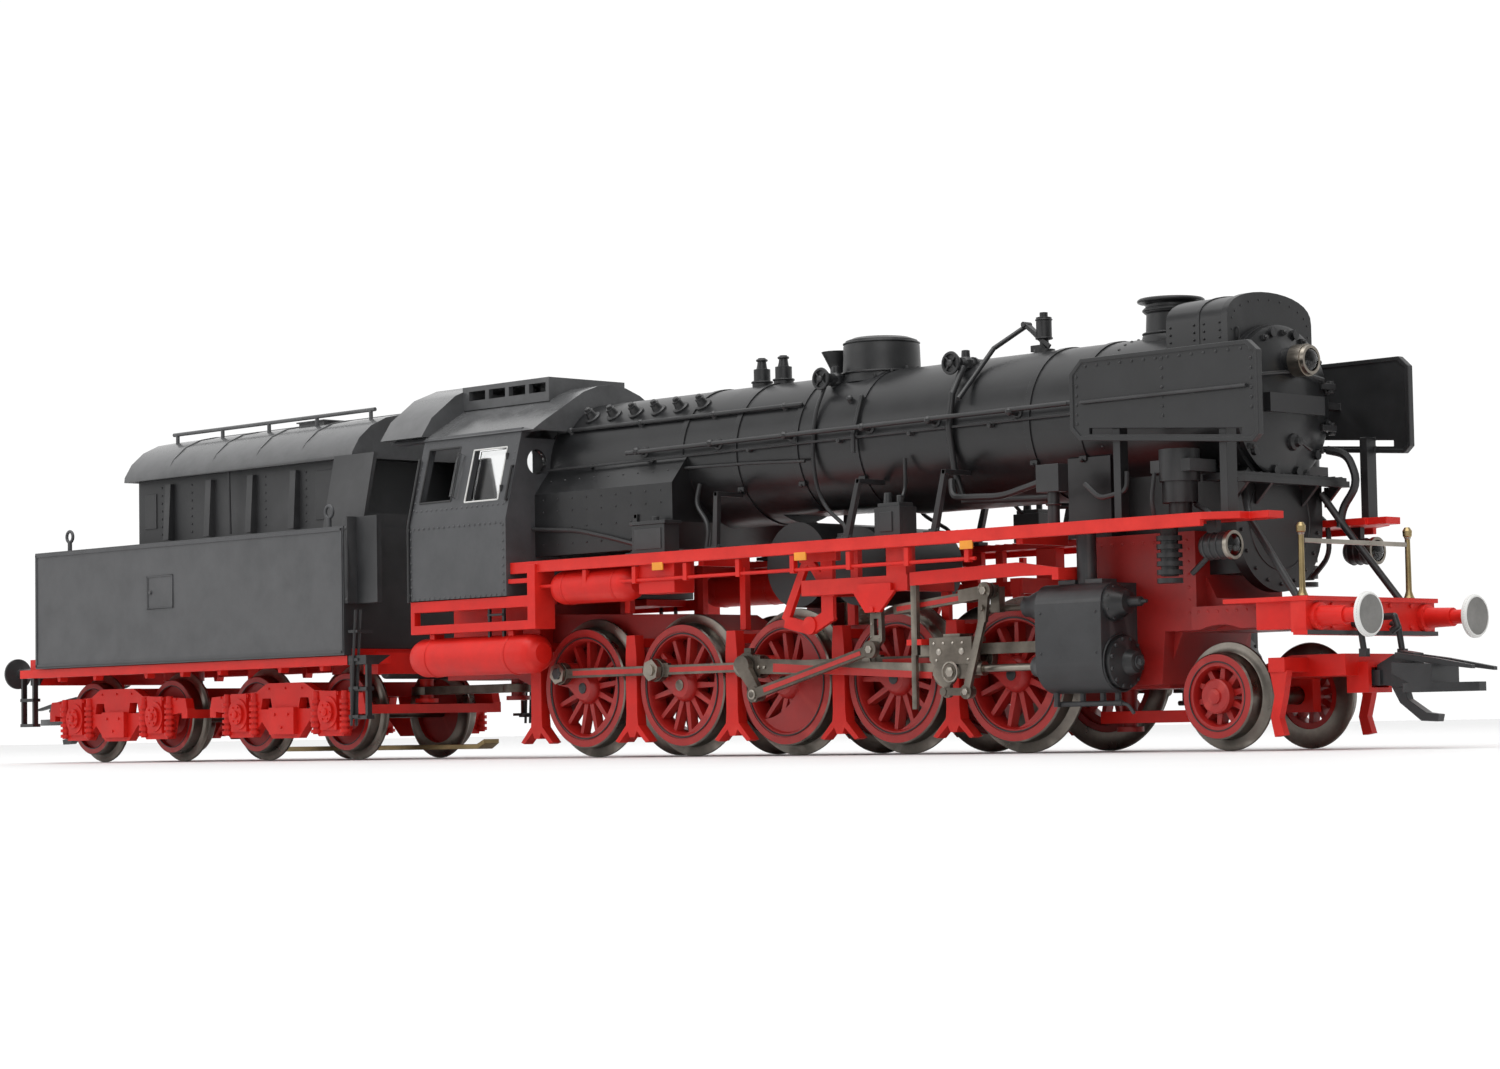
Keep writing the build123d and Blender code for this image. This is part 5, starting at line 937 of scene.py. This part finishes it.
# ================================================================== front end
b = Bag("deflector_rivets", "engine", "blackm")
for sd in (-1, 1):
    for xk in (-15.4, -3.0, 9.3):
        along(b, (xk, sd * 14.5, 36.2), (xk, sd * 14.5, 42.6), 7, 0.22, (0, sd, 0))
    along(b, (-14.0, sd * 14.5, 42.7), (8.0, sd * 14.5, 42.7), 14, 0.2, (0, sd, 0))
    b.tube([(-14.6, sd * 14.75, 38.6), (8.8, sd * 14.75, 38.6)], 0.22)
    for xk in (-13.6, -6.0, 1.5, 8.0):
        b.stack((xk, sd * 14.4, 38.6), (0, sd, 0), [(0, 0.28), (0.4, 0.22)], 10)
b.done()
b = Bag("door_furniture", "engine", "blackm")
for k in range(14):
    a = 2 * math.pi * (k + 0.5) / 14
    y, z = 8.15 * math.cos(a), BZ + 8.15 * math.sin(a)
    if z < 31.0:
        continue
    b.box(2.1, 3.3, y - 0.42, y + 0.42, z - 0.28, z + 0.28)
    b.hexa((3.2, y, z), (1, 0, 0), 0.26, 0.35)
b.tube([(3.6, -6.6, 40.6), (4.4, -5.6, 40.8), (4.6, 0.0, 41.4), (4.4, 5.6, 40.8), (3.6, 6.6, 40.6)], 0.22, 1.4)
for z in (35.4, 40.2):
    b.box(2.4, 3.7, 6.2, 8.9, z - 0.35, z + 0.35)
    b.cyl((3.0, 8.8, z - 0.7), (3.0, 8.8, z + 0.7), 0.42, 0.42, 12)
b.stack((4.0, 0, 33.4), (1, 0, 0), [(-0.4, 1.0), (0.4, 0.95), (0.6, 0.6), (1.1, 0.5), (1.2, 0.3)], 18)
b.tube([(5.0, 0.0, 33.4), (5.1, 1.9, 32.5)], 0.2, 0.4)
b.done(0.00004)
b = Bag("lamp_ribs", "engine", "blackm")
for sd in (-1, 1):
    for xk in (1.4, 2.3, 3.2):
        b.ring((xk + 0.9, sd * 13.4, 21.4), (1, 0, 0), 1.45, 0.12, 28, 6)
b.done()
b = Bag("front_pipes", "engine", "blackm")
b.tube([(2.6, 8.4, 33.0), (5.0, 8.9, 32.4), (6.4, 9.0, 29.0), (4.2, 8.8, 26.2), (4.0, 8.6, 24.0)], 0.5, 1.8)
for sd in (-1, 1):
    b.tube([(-2.0, sd * 10.2, 26.4), (0.8, sd * 10.6, 25.0), (0.8, sd * 10.8, 21.0), (-2.0, sd * 11.2, 18.6)], 0.32, 1.4)
    b.tube([(-9.0, sd * 13.6, 30.4), (-9.0, sd * 13.7, 28.2), (-13.0, sd * 13.7, 27.6), (-15.2, sd * 13.6, 29.4)], 0.28, 1.0)
    b.tube([(-5.4, sd * 13.2, 30.0), (-5.4, sd * 13.8, 27.0), (-5.4, sd * 13.4, 25.2)], 0.24, 1.0)
b.done()
b = Bag("apron_bolts", "engine", "black")
for k in range(9):
    a = math.pi + (k + 0.5) / 9 * math.pi
    b.hexa((1.88, 7.2 * math.cos(a), 24.7 + 7.2 * math.sin(a)), (1, 0, 0), 0.24, 0.25)
b.ring((1.9, 0, 24.7), (1, 0, 0), 5.6, 0.12, 48, 6)
b.done()
b = Bag("platform_ribs", "engine", "blackm")
for k in range(14):
    y = -8.9 + k * 1.37
    b.box(-1.2, 4.2, y - 0.12, y + 0.12, 29.66, 29.82)
for y in (-8.6, -4.3, 4.3, 8.6):
    b.prism([(2.0, 28.7), (4.3, 28.7), (2.0, 26.4)], "y", y - 0.25, y + 0.25)
b.done(0.00004)
b = Bag("beam_bolts", "engine", "red")
for y in (-11.2, -7.4, -3.4, 3.4, 7.4, 11.2):
    for z in (12.2, 14.6):
        if abs(abs(y) - 10.05) > 1.8:
            b.hexa((14.0, y, z), (1, 0, 0), 0.24, 0.28)
for sd in (-1, 1):
    for k in range(4):
        a = math.pi / 4 + k * math.pi / 2
        b.hexa((14.05, sd * 10.05 + 1.32 * math.cos(a), 13.3 + 1.32 * math.sin(a)), (1, 0, 0), 0.2, 0.66)
b.done()
b = Bag("beam_flat_bar", "engine", "steel")
b.box(11.9, 12.3, -9.6, 9.6, 21.4, 21.9)
for sd in (-1, 1):
    b.cyl((12.1, sd * 10.0, 15.3), (12.1, sd * 10.0, 22.3), 0.26, 0.26, 12)
    b.ball((12.1, sd * 10.0, 22.5), 0.42)
b.done(0.00004)
b = Bag("buffer_rims", "engine", "white")
for sd in (-1, 1):
    b.loop((20.6, sd * 10.05, 13.3), (1, 0, 0), [(0.0, 2.2), (0.0, 2.44), (0.2, 2.44), (0.44, 2.26), (0.44, 2.1), (0.3, 2.1)], 40)
b.done()
b = Bag("frame_rivets", "engine", "dred")
for sd in (-1, 1):
    along(b, (-3.0, sd * 8.98, 14.4), (6.4, sd * 8.98, 14.4), 8, 0.2, (0, sd, 0))
    along(b, (-19.2, sd * 7.98, 22.6), (-5.2, sd * 7.98, 22.6), 10, 0.2, (0, sd, 0))
    along(b, (-5.0, sd * 7.98, 14.4), (-5.0, sd * 7.98, 21.6), 6, 0.2, (0, sd, 0))
b.done()

# ================================================================== cab
def cab_y(z):
    return 17.2 if z < 31 else 17.2 - (z - 31.0) * (3.2 / 12.0)


b = Bag("cab_rivets", "engine", "grey")
for sd in (-1, 1):
    def put(x, z, r=0.21, sd=sd):
        b.dome((x, sd * cab_y(z), z), (0, sd, 0.26 if z > 31 else 0.0), r)
    for k in range(9):
        for x in (-133.2, -113.6):
            put(x, 21.4 + k * 1.1)
    for k in range(10):
        for x in (-133.2, -113.6):
            put(x, 33.2 + k * 0.98)
    for k in range(18):
        put(-132.6 + k * 1.09, 30.5)
        put(-132.6 + k * 1.09, 33.0)
        put(-132.6 + k * 1.09, 20.8)
        put(-132.6 + k * 1.09, 42.3)
b.done()
b = Bag("cab_window_lines", "engine", "pale")
for sd in (-1, 1):
    for x0, x1, z0, z1 in ((-122.4, -115.4, 33.7, 40.9),):
        pts = [(x0, z0), (x1, z0), (x1, z1), (x0, z1)]
        for p, q in zip(pts, pts[1:] + pts[:1]):
            b.tube([(p[0], sd * (cab_y(p[1]) + 0.02), p[1]), (q[0], sd * (cab_y(q[1]) + 0.02), q[1])], 0.12)
b.done()
b = Bag("cab_fittings", "engine", "blackm")
for sd in (-1, 1):
    for x0, x1, z0, z1 in ((-132.2, -125.4, 34.1, 41.6),):
        pts = [(x0, z0), (x1, z0), (x1, z1), (x0, z1)]
        for p, q in zip(pts, pts[1:] + pts[:1]):
            b.tube([(p[0], sd * (cab_y(p[1]) + 0.02), p[1]), (q[0], sd * (cab_y(q[1]) + 0.02), q[1])], 0.16)
    b.tube([(-133.6, sd * 17.38, 20.4), (-133.6, sd * 17.38, 31.0), (-133.6, sd * 15.1, 40.4)], 0.22, 0.6)
    b.tube([(-113.4, sd * (cab_y(33.5) + 0.35), 33.5), (-113.4, sd * (cab_y(38.2) + 0.35), 38.2)], 0.2)
    for z in (33.6, 38.1):
        b.stack((-113.4, sd * (cab_y(z) - 0.2), z), (0, sd, 0), [(0, 0.26), (0.55, 0.2)], 10)
    for z in (21.4, 30.4):
        b.stack((-133.5, sd * 16.9, z), (0, sd, 0), [(0, 0.26), (0.6, 0.22)], 10)
    for z in (35.2, 39.6):
        b.cyl((-115.0, sd * (cab_y(z) + 0.12), z - 0.45), (-115.0, sd * (cab_y(z) + 0.12), z + 0.45), 0.22, 0.22, 10)
    # small ladder below the front edge
    b.box(-118.4, -118.0, sd * 15.6, sd * 16.0, 13.2, 20.6)
    b.box(-115.4, -115.0, sd * 15.6, sd * 16.0, 13.2, 20.6)
    for z in (14.2, 16.2, 18.2):
        b.box(-118.3, -115.1, sd * 15.5, sd * 16.2, z - 0.15, z + 0.15)
b.done(0.00004)

# ================================================================== tender
b = Bag("tender_side_lines", "tender", "grey")
for sd in (-1, 1):
    y0, y1 = sd * 16.95, sd * 17.16
    b.box(-228.3, -149.0, y0, y1, 31.3, 31.75)
    b.box(-228.3, -149.0, y0, y1, 14.0, 14.35)
    b.box(-228.3, -227.9, y0, y1, 14.0, 31.7)
    b.box(-149.4, -149.0, y0, y1, 14.0, 31.7)
    for x0, x1, z0, z1 in ((-197.4, -190.6, 22.0, 27.0),):
        b.box(x0, x1, y0, sd * 17.12, z0, z0 + 0.22)
        b.box(x0, x1, y0, sd * 17.12, z1 - 0.22, z1)
        b.box(x0, x0 + 0.22, y0, sd * 17.12, z0, z1)
        b.box(x1 - 0.22, x1, y0, sd * 17.12, z0, z1)
        b.cyl((x0 + 0.9, sd * 17.0, (z0 + z1) / 2), (x0 + 0.9, sd * 17.3, (z0 + z1) / 2), 0.3, 0.3, 12)
b.done(0.00004)
# Cabin fittings take the darker tender copy, painted shade.
b = Bag("tender_cabin_fittings", "tender", "cabin")
for sd in (-1, 1):
    b.tube([(-192.7, sd * 10.6, 42.6), (-173.5, sd * 10.6, 42.6)], 0.18)
    for x in (-192.0, -183.0, -174.2):
        b.stack((x, sd * 9.6, 42.6), (0, sd, 0), [(0, 0.25), (1.0, 0.2)], 8)
    b.tube([(-185.5, sd * 10.3, 42.4), (-185.5, sd * 10.1, 33.0)], 0.2)
    for x in (-205.0, -197.0, -178.0, -168.0):
        for k in range(7):
            b.dome((x, sd * 9.0, 34.0 + k * 1.2), (0, sd, 0), 0.2)
    b.box(-209.4, -206.4, sd * 8.9, sd * 9.14, 35.0, 40.4)
    b.box(-165.6, -161.4, sd * 8.9, sd * 9.14, 34.0, 41.2)
b.done(0.00004)
# Roof ribs and vent take the lighter roof copy, painted top light.
b = Bag("tender_roof_fittings", "tender", "roof")
for x in (-201.0, -189.8, -178.6, -167.4):
    half = [(10.7, 43.1), (9.6, 45.35), (7.4, 47.25), (4.6, 48.55), (1.6, 49.15), (0.0, 49.25)]
    pts = [(y, z) for y, z in half] + [(-y, z) for y, z in reversed(half[:-1])]
    b.tube([(x, y, z) for y, z in pts], 0.12, 0.6)
b.box(-177.6, -171.4, -3.0, 3.0, 48.7, 49.45)
b.box(-177.9, -171.1, -3.3, 3.3, 49.4, 49.6)
b.done()
b = Bag("tender_ladders", "tender", "blackm")
for sd in (-1, 1):
    for y in (15.9, 16.8):
        b.tube([(-147.9, sd * y * 0.985, 3.7), (-147.4, sd * y * 0.985, 12.0), (-146.7, sd * y * 0.985, 20.0)], 0.2)
    for z in (5.0, 9.0, 13.0, 17.0):
        b.box(-148.4, -146.3, sd * 13.7, sd * 16.6, z - 0.2, z + 0.2)
    b.tube([(-148.4, sd * 16.7, 21.4), (-147.9, sd * 16.9, 26.0), (-148.4, sd * 16.7, 31.6)], 0.22, 2.0)
    b.ball((-148.4, sd * 16.7, 21.4), 0.38)
    b.ball((-148.4, sd * 16.7, 31.6), 0.38)
    b.tube([(-229.0, sd * 12.0, 15.0), (-229.3, sd * 12.0, 23.0), (-229.0, sd * 12.0, 31.0)], 0.2, 1.5)
    b.tube([(-229.0, sd * 9.2, 15.0), (-229.3, sd * 9.2, 23.0), (-229.0, sd * 9.2, 31.0)], 0.2, 1.5)
    for k in range(6):
        b.cyl((-229.15, sd * 9.2, 16.5 + k * 2.6), (-229.15, sd * 12.0, 16.5 + k * 2.6), 0.16, 0.16, 8)
b.done()
b = Bag("tender_sole_brackets", "tender", "red")
for sd in (-1, 1):
    for x in (-224.0, -214.0, -200.0, -190.6, -181.0, -166.0, -156.0):
        b.prism([(x - 0.8, 13.4), (x + 0.8, 13.4), (x + 0.3, 11.6), (x - 0.3, 11.6)], "y", sd * 14.2, sd * 15.6)
        b.hexa((x, sd * 15.55, 13.0), (0, sd, 0), 0.2, 0.22)
b.done(0.00005)
for nm, xc in (("front", -168.725), ("rear", -212.4)):
    b = Bag(f"bogie_bolts_{nm}", f"tender_bogie_{nm}", "red")
    for sd in (-1, 1):
        for ax in (xc - 10.925, xc + 10.925):
            for k in range(6):
                a = k * math.pi / 3
                b.hexa((ax + 1.15 * math.cos(a), sd * 13.68, 5.75 + 1.15 * math.sin(a)), (0, sd, 0), 0.17, 0.2)
            b.stack((ax, sd * 13.68, 5.75), (0, sd, 0), [(0, 0.6), (0.25, 0.55), (0.35, 0.3)], 16)
            b.box(ax - 2.2, ax + 2.2, sd * 12.5, sd * 13.0, 8.2, 8.7)
        for k in range(9):
            b.hexa((xc - 16.0 + k * 4.0, sd * 12.58, 8.35 if k not in (3, 4, 5) else 9.4), (0, sd, 0), 0.2, 0.22)
        b.hexa((xc - 1.6, sd * 13.38, 5.6), (0, sd, 0), 0.24, 0.24)
        b.hexa((xc + 1.6, sd * 13.38, 5.6), (0, sd, 0), 0.24, 0.24)
        b.hexa((xc, sd * 13.38, 3.7), (0, sd, 0), 0.24, 0.24)
    b.done(0.00003)
b = Bag("tender_underfloor_equipment", "tender", "blackm")
b.cyl((-149.2, -9.5, 11.6), (-149.2, 9.5, 11.6), 1.3, 1.3, 20, 0.2)
b.box(-150.4, -149.6, -9.0, 9.0, 10.6, 13.2)
b.done(0.00005)
